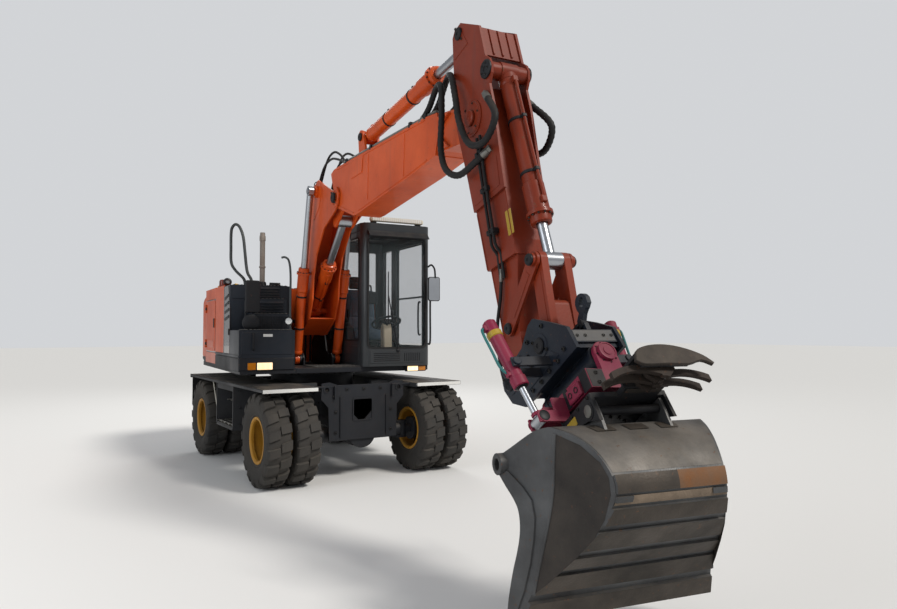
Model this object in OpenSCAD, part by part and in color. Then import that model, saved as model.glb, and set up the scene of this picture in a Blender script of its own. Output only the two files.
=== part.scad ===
// Wheeled excavator with a two-piece boom, a tilting rotator and a grading bucket.
// Millimetres. X points to the steered axle, Y to the cab side, Z up.
// The origin lies on the ground under the slewing axis.

/* [Wheels and axles] */
// Distance between the two axles
wheelbase = 2550; // [2450:10:2650]
// Distance from the slewing axis to the steered axle
front_axle_x = 1490; // [1450:5:1530]
// Outside diameter of a tyre over its lugs
tyre_d = 1055; // [1030:5:1070]
// Section width of one tyre
tyre_w = 278; // [265:1:290]
// Depth of the tread lugs
lug_h = 30; // [22:1:34]
// Distance between the centres of twin tyres
twin_pitch = 330; // [320:1:345]
// Distance from the centre plane to the middle of a twin pair
half_track = 966; // [955:1:980]
// Diameter of the rim over its flange
rim_d = 580; // [560:5:600]
// Distance of a steering pin from the centre plane
kingpin_y = 600; // [590:1:610]

/* [Chassis] */
// Width of the central frame box
frame_w = 740; // [700:10:750]
// Height of the underside of the frame box
frame_z0 = 620; // [600:5:640]
// Height of the top of the frame box
frame_z1 = 1010; // [990:5:1025]
// Thickness of the frame plates
frame_t = 16; // [12:1:20]
// Thickness of the front plate
front_plate_t = 25; // [20:1:30]
// Radius of the two lug bores in the front plate
lug_bore_r = 27; // [24:0.5:30]
// Height of the fender tops
fender_z = 1115; // [1105:1:1125]
// Thickness of the fender sheet
fender_t = 6; // [4:1:8]

/* [Superstructure] */
// Turn of the superstructure, as it stands
slew_deg = -5; // [-30:1:30]
// Half width of the superstructure
upper_half_w = 1225; // [1210:5:1240]
// Radius of the tail round the slewing axis
tail_r = 2050; // [2000:10:2100]
// Height of the underside of the superstructure
deck_z = 1240; // [1235:1:1250]
// Thickness of the deck
deck_t = 60; // [50:5:70]
// Height of the top of the engine housing
hood_z = 2350; // [2300:10:2380]
// Thickness of body panels and doors
panel_t = 40; // [30:1:50]
// Height of the top of the sill band
sill_z = 1440; // [1420:5:1460]

/* [Cab] */
// Distance of the cab's inner wall from the centre plane
cab_y0 = 270; // [270:1:290]
// Front face of the cab
cab_x1 = 1260; // [1240:5:1280]
// Length of the cab
cab_l = 1700; // [1650:10:1720]
// Height of the cab roof
cab_z1 = 3130; // [3080:5:3180]
// Thickness of the cab walls and door
cab_t = 40; // [35:1:45]
// Corner radius of the cab in plan
cab_r = 110; // [90:5:130]

/* [Boom] */
// Distance of the boom's middle plane from the slewing axis
boom_y = -80; // [-85:1:-75]
// Foot pin of the lower boom, forward of the slewing axis
foot_x = 50; // [40:5:60]
// Height of the foot pin
foot_z = 1800; // [1790:5:1810]
// Length of the lower boom between its pins
boom1_l = 2263; // [2255:1:2270]
// Angle of the lower boom above the horizontal
boom1_deg = 41.69; // [38:0.01:45]
// Length of the upper boom between its pins
boom2_l = 3220; // [3200:5:3240]
// Angle of the upper boom above the horizontal
boom2_deg = 0.8; // [-1:0.1:3]
// Length of the arm between its pins
arm_l = 2034; // [2028:1:2040]
// Angle of the arm above the horizontal
arm_deg = -74.46; // [-78:0.01:-70]
// Half width of the lower boom over its plates
boom1_hw = 180; // [178:1:182]
// Half width of the upper boom box
boom2_hw = 155; // [150:1:156]
// Half width of the upper boom's neck inside the arm
neck_hw = 125; // [120:1:130]
// Half width of the arm over its upper plates
arm_hw = 170; // [168:1:172]
// Half width of the arm at its tip
tip_hw = 120; // [118:1:122]
// Thickness of the boom and arm plates
boom_t = 14; // [10:1:18]
// Radius of the main pins
pin_r = 38; // [34:1:42]

/* [Cylinders] */
// Half spacing of the two lift cylinders
lift_y = 272; // [271:1:273]
// Radius of the lift cylinder barrels
lift_br = 60; // [56:1:62]
// Radius of the lift cylinder rods
lift_rr = 40; // [36:1:44]
// Radius of the adjusting cylinder barrel
adjust_br = 75; // [70:1:80]
// Radius of the adjusting cylinder rod
adjust_rr = 45; // [42:1:48]
// Radius of the arm cylinder barrel
armcyl_br = 72; // [68:1:76]
// Radius of the arm cylinder rod
armcyl_rr = 42; // [38:1:46]
// Radius of the bucket cylinder barrel
buckcyl_br = 66; // [62:1:70]
// Radius of the bucket cylinder rod
buckcyl_rr = 38; // [34:1:42]
// Radius of the tilt cylinder barrels
tilt_br = 44; // [40:1:48]
// Radius of the tilt cylinder rods
tilt_rr = 22; // [20:1:25]

/* [Tool] */
// Distance between the coupler's two pins
coupler_pitch = 430; // [425:1:435]
// Angle of the coupler above the horizontal
coupler_deg = 37; // [30:0.5:44]
// Sideways tilt of the rotator
tilt_deg = -4; // [-10:0.5:10]
// Turn of the rotator
rotor_deg = -5; // [-40:1:40]
// Width of the bucket
bucket_w = 1315; // [1250:5:1400]
// How fast the bucket's sides come together towards its back
bucket_taper = 0.496; // [0.3:0.002:0.6]
// Thickness of the bucket shell
bucket_t = 16; // [12:1:20]

/* [Hidden] */
$fn = 48;

gap = 0.5;
seat = 0.3;
rear_axle_x = front_axle_x - wheelbase;
axle_z = tyre_d / 2;
cab_y1 = upper_half_w;
cab_x0 = cab_x1 - cab_l;
cab_z0 = deck_z + deck_t;

// Points in the boom's plane are [forward, up], from the slewing axis and the ground
function polar(r, a) = [r * cos(a), r * sin(a)];
function angle_of(v) = atan2(v[1], v[0]);
foot = [foot_x, foot_z];
mid = foot + polar(boom1_l, boom1_deg);
arm_pin = mid + polar(boom2_l, boom2_deg);
tip = arm_pin + polar(arm_l, arm_deg);
link_pin = tip + polar(coupler_pitch, coupler_deg);
// The same plane along and above each member's line of pins
function b1(s, t) = foot + polar(s, boom1_deg) + polar(t, boom1_deg + 90);
function b2(s, t) = mid + polar(s, boom2_deg) + polar(t, boom2_deg + 90);
function ar(s, t) = arm_pin + polar(s, arm_deg) + polar(t, arm_deg + 90);
side_pin = ar(1655, 17);
knee = side_pin + [290, 450];
lift_foot = [470, 1380];
lift_top = b1(1875, 605);
adjust_foot = b1(355, -20);
adjust_top = b2(-205, -230);
armcyl_foot = b2(620, 565);
armcyl_top = ar(-760, -5);
buckcyl_foot = ar(-240, 285);

// Turns a child from the superstructure's own directions to where it stands
module upper() rotate([0, 0, slew_deg]) children();
// Moves a child into the boom's own middle plane
module boom_plane() upper() translate([0, boom_y, 0]) children();
// Puts a child at a point of the boom's plane
module at(p, y = 0) translate([p[0], y, p[1]]) children();
// Points a child's X axis at an angle in the boom's plane
module along(a) rotate([0, -a, 0]) children();
// A plate in the boom's plane from its outline, between y0 and y0 + t
module plate(y0, t) translate([0, y0 + t, 0]) rotate([90, 0, 0]) linear_extrude(t) children();
// A round bar or bore across the boom's plane
module cross_pin(r, y0, y1) translate([0, y1, 0]) rotate([90, 0, 0]) cylinder(r = r, h = y1 - y0);
// A round bar along X
module rod_x(r, x0, x1) translate([x0, 0, 0]) rotate([0, 90, 0]) cylinder(r = r, h = x1 - x0);
// A box from its low corner to its high corner
module box(a, b) translate(a) cube(b - a);
// The outline of a link: two rounds joined by their common tangents, drawn a hair inside
module link_2d(p, rp, q, rq) {
  d = norm(q - p);
  a = angle_of(q - p);
  b = acos((rp - rq) / d);
  h = 0.15;
  translate(p) circle(r = rp);
  translate(q) circle(r = rq);
  polygon([p + polar(rp - h, a + b), p + polar(rp - h, a - b), q + polar(rq - h, a - b), q + polar(rq - h, a + b)]);
}
// A rectangle with round corners in plan
module round_rect(x0, y0, x1, y1, r) {
  translate([x0 + r, y0]) square([x1 - x0 - 2 * r, y1 - y0]);
  translate([x0, y0 + r]) square([x1 - x0, y1 - y0 - 2 * r]);
  for (x = [x0 + r, x1 - r], y = [y0 + r, y1 - r]) translate([x, y]) circle(r = r);
}

module tyre(y) translate([0, y, 0]) rotate([90, 0, 0]) rotate_extrude() difference() {
  ro = tyre_d / 2;
  hw = tyre_w / 2;
  union() {
    polygon([[rim_d / 2 - 25, -hw + 40], [rim_d / 2 + 30, -hw + 12], [rim_d / 2 + 95, -hw],
      [ro - 70, -hw + 12], [ro - 12, -hw + 34], [ro, -hw + 60], [ro, hw - 60], [ro - 12, hw - 34],
      [ro - 70, hw - 12], [rim_d / 2 + 95, hw], [rim_d / 2 + 30, hw - 12], [rim_d / 2 - 25, hw - 40]]);
  }
}

// Twin rims, open towards the outside and joined by the hub; side is 1 on the left
module rims(side) {
  w = tyre_w - 80;
  for (k = [-1, 1]) translate([0, k * twin_pitch / 2, 0]) rotate([90, 0, 0]) difference() {
    cylinder(r = rim_d / 2 - 25 - gap, h = w, center = true);
    cylinder(r = rim_d / 2 - 37, h = w + 2, center = true);
  }
  // The spacer drum between the rims and the two discs
  rotate([90, 0, 0]) difference() {
    cylinder(r = rim_d / 2 - 37 + 1, h = 40, center = true);
    cylinder(r = 150, h = 42, center = true);
  }
  rotate([90, 0, 0]) difference() {
    cylinder(r = rim_d / 2 - 26, h = twin_pitch - w + 2, center = true);
    cylinder(r = rim_d / 2 - 37, h = twin_pitch + 2, center = true);
  }
  translate([0, side * 10, 0]) rotate([90, 0, 0]) difference() {
    cylinder(r = 152, h = 60, center = true);
    cylinder(r = 50 + seat, h = 62, center = true);
  }
  // Planetary hub that stands out of the disc
  translate([0, side * 75, 0]) rotate([90, 0, 0]) cylinder(r = 105, h = 90, center = true);
}

module wheel_at(x, side) translate([x, side * half_track, axle_z]) children();
module tyre_pair() {
  tyre(-twin_pitch / 2);
  tyre(twin_pitch / 2);
}

module axle_beam(x, y_end) {
  translate([x, 0, axle_z]) {
    rotate([90, 0, 0]) cylinder(r = 90, h = 2 * y_end, center = true);
    intersection() {
      rotate([0, 90, 0]) cylinder(r = 170, h = 250, center = true);
      box([-130, -180, -180], [130, 180, frame_z0 - axle_z - seat]);
    }
    for (s = [-1, 1]) box([-75, s * 300 - 60, 60], [75, s * 300 + 60, frame_z0 - axle_z - seat]);
  }
}

module front_axle() color("#2b3038") difference() {
  union() {
    axle_beam(front_axle_x, kingpin_y - 60);
    for (s = [-1, 1], z = [-105, 75])
      translate([front_axle_x, s * kingpin_y, axle_z + z]) {
        cylinder(r = 55, h = 30);
        box([-55, s > 0 ? -90 : 0, 0], [55, s > 0 ? 0 : 90, 30]);
      }
  }
  for (s = [-1, 1]) translate([front_axle_x, s * kingpin_y, axle_z - 120])
    cylinder(r = 25 + gap, h = 240);
  for (s = [-1, 1]) translate([front_axle_x, s * kingpin_y, axle_z - 74])
    cylinder(r = 62, h = 148);
}

module knuckle(side) color("#2b3038") translate([front_axle_x, side * kingpin_y, axle_z]) {
  translate([0, 0, -75 + seat]) cylinder(r = 55, h = 150 - 2 * seat);
  translate([0, 0, -108]) cylinder(r = 25, h = 216);
  rotate([90, 0, 0]) translate([0, 0, side > 0 ? -(half_track - kingpin_y) : 0])
    cylinder(r = 50, h = half_track - kingpin_y);
  // Brake drum behind the inner rim
  rotate([90, 0, 0]) translate([0, 0, side > 0 ? -180 : 110]) cylinder(r = 140, h = 70);
}
module knuckle_left() knuckle(1);
module knuckle_right() knuckle(-1);

module rear_axle() color("#2b3038") {
  axle_beam(rear_axle_x, half_track - 40);
  translate([rear_axle_x, 0, axle_z]) rotate([90, 0, 0]) cylinder(r = 50, h = 2 * half_track, center = true);
  for (s = [-1, 1]) translate([rear_axle_x, s * 745, axle_z]) rotate([90, 0, 0])
    cylinder(r = 140, h = 70, center = true);
}

module tyres_front_left() color("#26282a") wheel_at(front_axle_x, 1) tyre_pair();
module tyres_front_right() color("#26282a") wheel_at(front_axle_x, -1) tyre_pair();
module tyres_rear_left() color("#26282a") wheel_at(rear_axle_x, 1) tyre_pair();
module tyres_rear_right() color("#26282a") wheel_at(rear_axle_x, -1) tyre_pair();
module rims_front_left() color("#d99a1c") wheel_at(front_axle_x, 1) rims(1);
module rims_front_right() color("#d99a1c") wheel_at(front_axle_x, -1) rims(-1);
module rims_rear_left() color("#d99a1c") wheel_at(rear_axle_x, 1) rims(1);
module rims_rear_right() color("#d99a1c") wheel_at(rear_axle_x, -1) rims(-1);

module drive_shaft() color("#2b3038") {
  translate([0, 0, axle_z + 10]) rotate([0, 90, 0]) translate([0, 0, rear_axle_x + 126])
    cylinder(r = 45, h = wheelbase - 252);
  box([-260, -150, axle_z - 90], [200, 150, frame_z0 - gap]);
}

front_plate_x = front_axle_x + 130;
frame_x0 = rear_axle_x - 420;
ring_r = 560;
module chassis_frame() color("#2a3038") {
  x1 = front_plate_x;
  hw = frame_w / 2;
  difference() {
    box([frame_x0, -hw, frame_z0], [x1, hw, frame_z1]);
    box([frame_x0 + frame_t, -hw + frame_t, frame_z0 + frame_t], [x1 + 1, hw - frame_t, frame_z1 - frame_t]);
  }
  // Pedestal under the slewing ring
  translate([0, 0, frame_z1 - 1]) difference() {
    cylinder(r = ring_r, h = deck_z - 80 - frame_z1);
    translate([0, 0, -1]) cylinder(r = ring_r - 40, h = deck_z);
  }
  difference() {
    translate([x1, 0, 0]) rotate([90, 0, 90]) linear_extrude(front_plate_t) difference() {
      polygon([[-440, 470], [440, 470], [450, 860], [540, 960], [530, 1140], [430, 1150], [330, 1115],
        [-330, 1115], [-430, 1150], [-530, 1140], [-540, 960], [-450, 860]]);
      translate([-140, 690]) polygon([[0, 80], [80, 0], [150, 0], [255, 110], [255, 260], [0, 260]]);
    }
    for (s = [-1, 1]) translate([x1 - 1, s * 470, 1065]) rod_x(lug_bore_r, 0, front_plate_t + 2);
  }
  // Rear plate with the tow jaw
  box([frame_x0 - 20, -430, 480], [frame_x0, 430, frame_z1]);
}

module slew_ring() color("#3a3d40") translate([0, 0, deck_z - 81 + seat]) difference() {
  cylinder(r = ring_r, h = 81 - 2 * seat);
  translate([0, 0, -1]) cylinder(r = ring_r - 90, h = 90);
}

fender_x1 = front_axle_x + 320;
fender_x0 = rear_axle_x - 560;
fender_y0 = 640;
fender_y1 = 1280;
module fender(s) color("#3a3f47") {
  y0 = s > 0 ? fender_y0 : -fender_y1;
  y1 = s > 0 ? fender_y1 : -fender_y0;
  box([fender_x0, y0, fender_z - fender_t], [fender_x1, y1, fender_z]);
  // Front drop with its pale strip, and the rear drop
  translate([fender_x1 - 1, y0, fender_z - 45]) cube([fender_t, y1 - y0, 45]);
  translate([fender_x0 - fender_t + 1, y0, fender_z - 45]) cube([fender_t, y1 - y0, 45]);
  // Arms that carry the sheet from the frame
  for (x = [front_axle_x - 450, rear_axle_x + 480, rear_axle_x - 380])
    translate([x, s > 0 ? frame_w / 2 + gap : -fender_y0 - 60, fender_z - fender_t - 60])
      cube([60, fender_y0 + 60 - frame_w / 2 - gap, 60]);
}
module fender_left() fender(1);
module fender_right() fender(-1);

module steps(s) color("#4a4f55") {
  x0 = -270;
  x1 = 520;
  y0 = s > 0 ? 700 : -1230;
  y1 = s > 0 ? 1230 : -700;
  difference() {
    box([x0, y0, 520], [x1, y1, fender_z - fender_t - gap]);
    box([x0 + 20, y0 + (s > 0 ? 20 : -1), 560], [x1 - 20, y1 - (s > 0 ? -1 : 20), 1000]);
  }
  translate([x0 + 200, s > 0 ? frame_w / 2 + gap : -702, 640]) cube([300, 702 - frame_w / 2 - gap, 200]);
}
module steps_left() steps(1);
module steps_right() steps(-1);

// The deck and the boom's bracket
module upper_deck() color("#24282e") {
  upper() difference() {
    intersection() {
      box([-2400, -upper_half_w + 10, deck_z], [1180, cab_y1 - 10, deck_z + deck_t]);
      union() {
        translate([0, 0, deck_z]) cylinder(r = tail_r - 20, h = deck_t);
        box([0, -upper_half_w, deck_z], [1300, cab_y1, deck_z + deck_t]);
      }
    }
    translate([0, 0, deck_z - 1]) cylinder(r = 200, h = deck_t + 2);
  }
  boom_plane() {
    // Side plates of the boom bracket
    z = deck_z + deck_t - 1;
    y = boom1_hw + 6;
    for (s = [-1, 1]) plate(s > 0 ? y : -y - 18, 18) union() {
      polygon([[-400, z], [560, z], [560, 1400], [410, 1440], [290, 1480], [150, 1860], [-70, 1860],
        [-400, 1600]]);
      translate(foot) circle(r = 110);
      translate(lift_foot) circle(r = 75);
    }
    for (s = [-1, 1]) at(lift_foot) {
      cross_pin(60, s > 0 ? y + 17 : 34 - lift_y, s > 0 ? lift_y - 34 : -y - 17);
      cross_pin(30, s > 0 ? y : -lift_y - 45, s > 0 ? lift_y + 45 : -y);
      cross_pin(48, s > 0 ? lift_y + 34 : -lift_y - 48, s > 0 ? lift_y + 48 : -lift_y - 34);
    }
    at(foot) cross_pin(pin_r, -y - 20, y + 20);
  }
}

cw_x = -1350;
house_x1 = cab_x0 - 10;
module counterweight() color("#e2541b") upper() difference() {
  intersection() {
    translate([0, 0, deck_z + deck_t + 0]) cylinder(r = tail_r, h = 1010);
    box([-2400, -upper_half_w, 0], [cw_x, cab_y1, 3000]);
  }
}

module engine_block() color("#55585c") upper() box([-1200, -500, deck_z + deck_t], [-550, 500, 1950]);

module engine_housing() color("#e2541b") upper() {
  difference() {
    z0 = deck_z + deck_t;
    x0 = cw_x + gap;
    x1 = house_x1;
    box([x0, -upper_half_w, z0], [x1, cab_y1, hood_z]);
    box([x0 + 30, -upper_half_w + 60, z0 - 1], [x1 - 30, cab_y1 - 60, hood_z - 60]);
    // Doorways on both sides and the lid's opening
    box([hood_x0, -upper_half_w - 1, side_z0], [hood_x1, -upper_half_w + 61, side_z1]);
    box([hood_x0, cab_y1 - 61, side_z0], [hood_x1, cab_y1 + 1, side_z1]);
    box([hood_x0, -700, hood_z - 61], [hood_x1, 700, hood_z + 1]);
  }
  side_hinges() translate([0, -upper_half_w, 0]) mirror([0, 1, 0]) hinge_fixed();
  side_hinges() translate([0, cab_y1, 0]) hinge_fixed();
  hood_hinges() hinge_fixed();
}
// Hinge along Z: the fixed part carries the pin, the moving part turns on it;
// the leaf of the fixed part points to -X and both stand on a face at y = 0
hinge_off = 13;
module hinge_fixed(n = 1) translate([0, hinge_off, 0]) {
  cylinder(r = 6, h = 120, center = true);
  for (z = [-60, 21]) {
    translate([0, 0, z]) cylinder(r = 12, h = 39);
    translate([-34, -hinge_off, z]) cube([34, 9, 39]);
  }
}
module hinge_moving() translate([0, hinge_off, 0]) {
  difference() {
    union() {
      cylinder(r = 12, h = 41, center = true);
      translate([0, -hinge_off, -20.5]) cube([34, 9, 41]);
    }
    cylinder(r = 6 + seat, h = 50, center = true);
  }
}
door_gap = 6;
hood_x0 = cw_x + gap + 60;
hood_x1 = house_x1 - 60;
hinge_x = hood_x0 + door_gap / 2;
side_z0 = deck_z + deck_t + 150;
side_z1 = hood_z - 150;
module side_hinges() for (z = [side_z0 + 120, side_z1 - 120]) translate([hinge_x, 0, z]) children();
module hood_hinges() for (y = [-500, 500]) translate([hinge_x, y, hood_z]) rotate([90, 0, 0]) children();
module hood_lid() color("#e2541b") upper() {
  box([hood_x0 + door_gap, -694, hood_z - 54], [hood_x1 - door_gap, 694, hood_z]);
  hood_hinges() hinge_moving();
}
module side_door(y0, s) upper() {
  box([hood_x0 + door_gap, s > 0 ? cab_y1 - panel_t : -upper_half_w, side_z0 + door_gap],
    [hood_x1 - door_gap, s > 0 ? cab_y1 : panel_t - upper_half_w, side_z1 - door_gap]);
  side_hinges() translate([0, y0, 0]) mirror([0, s > 0 ? 0 : 1, 0]) hinge_moving();
}
module side_door_right() color("#a85a2c") side_door(-upper_half_w, -1);
module side_door_left() color("#e2541b") side_door(cab_y1, 1);

// Tank and tool box with steps, right of the boom
box_x1 = 1180;
module front_box() color("#30363e") upper() {
  z0 = deck_z + deck_t;
  box([house_x1 + gap, -upper_half_w, z0], [560, -450, 2330]);
  box([560, -upper_half_w, z0], [box_x1, -570, 1760]);
  box([560, -1000, 1760], [950, -570, 1960]);
  box([560, -1000, 1960], [780, -570, 2150]);
}

module cab_plan(inset) round_rect(cab_x0 + inset, cab_y0 + inset, cab_x1 - inset, cab_y1 - inset, cab_r - inset / 2);
door_x0 = cab_x0 + 560;
door_x1 = cab_x1 - 130;
win_z0 = 1540;
win_z1 = cab_z1 - 190;
module cab_shell() color("#34383d") {
  upper() cab_walls();
  upper() cab_hinges() hinge_fixed();
}
module cab_walls() difference() {
  translate([0, 0, cab_z0]) linear_extrude(cab_z1 - cab_z0) cab_plan(0);
  translate([0, 0, cab_z0 + 40]) linear_extrude(cab_z1 - cab_z0 - 90) cab_plan(cab_t);
  // Windscreen, right window, rear window, left rear window and roof hatch
  box([cab_x1 - 60, cab_y0 + 80, win_z0], [cab_x1 + 1, cab_y1 - 80, win_z1]);
  box([cab_x0 + 200, cab_y0 - 1, win_z0 + 100], [cab_x1 - 150, cab_y0 + 41, win_z1]);
  box([cab_x0 - 1, cab_y0 + 110, win_z0 + 300], [cab_x0 + 41, cab_y1 - 110, win_z1]);
  box([cab_x0 + 150, cab_y1 - 41, win_z0 + 300], [door_x0 - 100, cab_y1 + 1, win_z1]);
  box([cab_x0 + 500, cab_y0 + 200, cab_z1 - 51], [cab_x1 - 350, cab_y1 - 200, cab_z1 + 1]);
  // Doorway
  box([door_x0, cab_y1 - 41, cab_z0 + 50], [door_x1, cab_y1 + 1, win_z1 + 60]);
}
module cab_hinges() for (z = [cab_z0 + 250, win_z1 - 150]) translate([door_x0 + door_gap / 2, cab_y1, z]) children();
module cab_glass() color([0.6, 0.75, 0.8, 0.4]) upper() {
  g = 6;
  c = gap;
  box([cab_x1 - 30, cab_y0 + 80 + c, win_z0 + c], [cab_x1 - 30 + g, cab_y1 - 80 - c, win_z1 - c]);
  box([cab_x0 + 200 + c, cab_y0 + 15, win_z0 + 100 + c], [cab_x1 - 150 - c, cab_y0 + 15 + g, win_z1 - c]);
  box([cab_x0 + 15, cab_y0 + 110 + c, win_z0 + 300 + c], [cab_x0 + 15 + g, cab_y1 - 110 - c, win_z1 - c]);
  box([cab_x0 + 150 + c, cab_y1 - 25, win_z0 + 300 + c], [door_x0 - 100 - c, cab_y1 - 25 + g, win_z1 - c]);
  box([cab_x0 + 500 + c, cab_y0 + 200 + c, cab_z1 - 30], [cab_x1 - 350 - c, cab_y1 - 200 - c, cab_z1 - 30 + g]);
}
module cab_door() color("#34383d") upper() {
  difference() {
    box([door_x0 + door_gap, cab_y1 - cab_t, cab_z0 + 50 + door_gap], [door_x1 - door_gap, cab_y1, win_z1 + 60 - door_gap]);
    box([door_x0 + 70, cab_y1 - cab_t - 1, win_z0], [door_x1 - 70, cab_y1 + 1, win_z1]);
  }
  cab_hinges() hinge_moving();
}
module cab_inside() color("#4c5a66") upper() {
  x = cab_x0 + 550;
  y = (cab_y0 + cab_y1) / 2;
  box([x - 250, y - 160, cab_z0 + 40], [x + 250, y + 160, cab_z0 + 300]);
  box([x - 260, y - 260, cab_z0 + 300], [x + 260, y + 260, cab_z0 + 480]);
  translate([x - 230, 0, cab_z0 + 481]) rotate([0, -10, 0]) box([-60, y - 240, 0], [60, y + 240, 620]);
  box([cab_x1 - 420, y - 60, cab_z0 + 40], [cab_x1 - 300, y + 60, cab_z0 + 560]);
  translate([cab_x1 - 380, y, cab_z0 + 561]) rotate([0, -25, 0]) cylinder(r = 190, h = 30);
}

module rails_mirrors() color("#202327") upper() {
  // Hand rail on the front box
  for (x = [-100, 300]) translate([x, -upper_half_w + 60, 2330]) cylinder(r = 17, h = 640);
  translate([-117, -upper_half_w + 60, 2952]) rod_x(17, 0, 434);
  // Exhaust stack
  translate([-250, -620, 2330]) cylinder(r = 65, h = 640);
}

// Lower boom: two side plates, a cover along the back and the pin bosses
module lower_boom() color("#e2541b") boom_plane() {
  outline = [b1(-90, -60), b1(-40, -120), b1(160, -275), b1(550, -360), b1(830, -270), b1(1030, -90),
    b1(1310, 40), b1(1730, 65), b1(2130, -100), b1(2263, -130), b1(2380, -60), b1(2380, 60),
    b1(2263, 130), b1(2095, 475), b1(1990, 700), b1(1850, 760), b1(1700, 740), b1(1535, 690),
    b1(835, 480), b1(265, 280), b1(0, 130), b1(-90, 60)];
  for (s = [-1, 1]) {
    difference() {
      plate(s > 0 ? boom1_hw - 18 : -boom1_hw, 18) polygon(outline);
      at(mid) cross_pin(pin_r + gap, -300, 300);
      at(foot) cross_pin(pin_r + gap, -300, 300);
    }
    // Bosses of the lift cylinders
    at(lift_top) cross_pin(75, s > 0 ? boom1_hw - 1 : 50 - lift_y, s > 0 ? lift_y - 50 : 1 - boom1_hw);
  }
  plate(17 - boom1_hw, 2 * boom1_hw - 34) polygon([b1(100, 190), b1(265, 278), b1(835, 478), b1(1500, 677),
    b1(1500, 657), b1(835, 458), b1(265, 258), b1(100, 170)]);
  plate(17 - boom1_hw, 2 * boom1_hw - 34) polygon([b1(120, -245), b1(550, -345), b1(550, -325), b1(120, -225)]);
  at(adjust_foot) cross_pin(pin_r, 17 - boom1_hw, boom1_hw - 17);
}

// A cylinder along X from its foot eye; the bore takes the rod with a running gap
module barrel(br, rr, len, eye_r, eye_hw, pin, neck = 15) difference() {
  union() {
    cross_pin(eye_r, -eye_hw, eye_hw);
    rod_x(eye_hw - 1, eye_r * 0.6, eye_r + neck + 1);
    rod_x(br, eye_r + neck, len);
    rod_x(br + 8, len - 70, len);
  }
  cross_pin(pin, -eye_hw - 1, eye_hw + 1);
  rod_x(rr + gap, eye_r + neck + 25, len + 1);
}
module rod(rr, x0, x1, eye_r, eye_hw) {
  rod_x(rr, x0, x1 - eye_r * 0.6);
  translate([x1, 0, 0]) cross_pin(eye_r, -eye_hw, eye_hw);
}
function dist(a, b) = norm(b - a);

lift_a = angle_of(lift_top - lift_foot);
module lift_barrels() color("#e2541b") boom_plane() for (s = [-1, 1])
  at(lift_foot, s * lift_y) along(lift_a) barrel(lift_br, lift_rr, 1205, 62, 29, 30 + gap);
// The linkages are opened at the rods' eyes, so each eye carries its own pin,
// which ends just off the boss it would sit in
module lift_rods() color("#8d9094") boom_plane() for (s = [-1, 1])
  at(lift_foot, s * lift_y) along(lift_a) {
    rod(lift_rr, 520, dist(lift_foot, lift_top), 66, 30);
    translate([dist(lift_foot, lift_top), 0, 0])
      cross_pin(32, s > 0 ? seat - 50 : -44, s > 0 ? 44 : 50 - seat);
  }

adjust_a = angle_of(adjust_top - adjust_foot);
module adjust_barrel() color("#e2541b") boom_plane() at(adjust_foot) along(adjust_a)
  barrel(adjust_br, adjust_rr, 890, 80, 70, pin_r + gap);
module adjust_rod() color("#b9bcc0") boom_plane() at(adjust_foot) along(adjust_a)
  rod(adjust_rr, 300, dist(adjust_foot, adjust_top), 72, 85 - seat);

module upper_boom() color("#e2541b") boom_plane() {
  difference() {
    union() {
      plate(-boom2_hw, 2 * boom2_hw) polygon([b2(-110, 60), b2(-110, -60), b2(0, -125), b2(100, -150),
        b2(560, -300), b2(700, -300), b2(2090, -180), b2(2560, -120), b2(2620, 60), b2(2600, 235),
        b2(2365, 262), b2(1585, 295), b2(60, 360), b2(-120, 360), b2(-225, 330)]);
      plate(-neck_hw, 2 * neck_hw) polygon([b2(2400, -140), b2(2650, -100), b2(3000, -120), b2(3220, -140),
        b2(3330, -90), b2(3360, 0), b2(3330, 90), b2(3220, 140), b2(3000, 165), b2(2845, 195), b2(2400, 255)]);
    }
    plate(boom_t - boom2_hw, 2 * (boom2_hw - boom_t)) polygon([b2(220, -150), b2(560, -280), b2(700, -280),
      b2(2090, -160), b2(2350, -120), b2(2350, 240), b2(1585, 275), b2(220, 335)]);
  }
  at(mid) cross_pin(pin_r, -boom1_hw - 20, boom1_hw + 20);
  at(arm_pin) cross_pin(pin_r, -arm_hw - 20, arm_hw + 20);
  for (s = [-1, 1]) {
    // Ears of the adjusting rod and of the arm cylinder
    plate(s > 0 ? 85 : -110, 25) link_2d(adjust_top, 80, b2(30, -60), 100);
    plate(s > 0 ? 68 : -93, 25) link_2d(armcyl_foot, 75, b2(690, 260), 110);
  }
  at(armcyl_foot) cross_pin(34, -92, 92);
}

armcyl_a = angle_of(armcyl_top - armcyl_foot);
module arm_cylinder_barrel() color("#e2541b") boom_plane() at(armcyl_foot) along(armcyl_a)
  barrel(armcyl_br, armcyl_rr, 1700, 70, 60, 34 + gap, 40);
module arm_cylinder_rod() color("#b9bcc0") boom_plane() at(armcyl_foot) along(armcyl_a)
  rod(armcyl_rr, 620, dist(armcyl_foot, armcyl_top), 72, 65 - seat);

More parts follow.
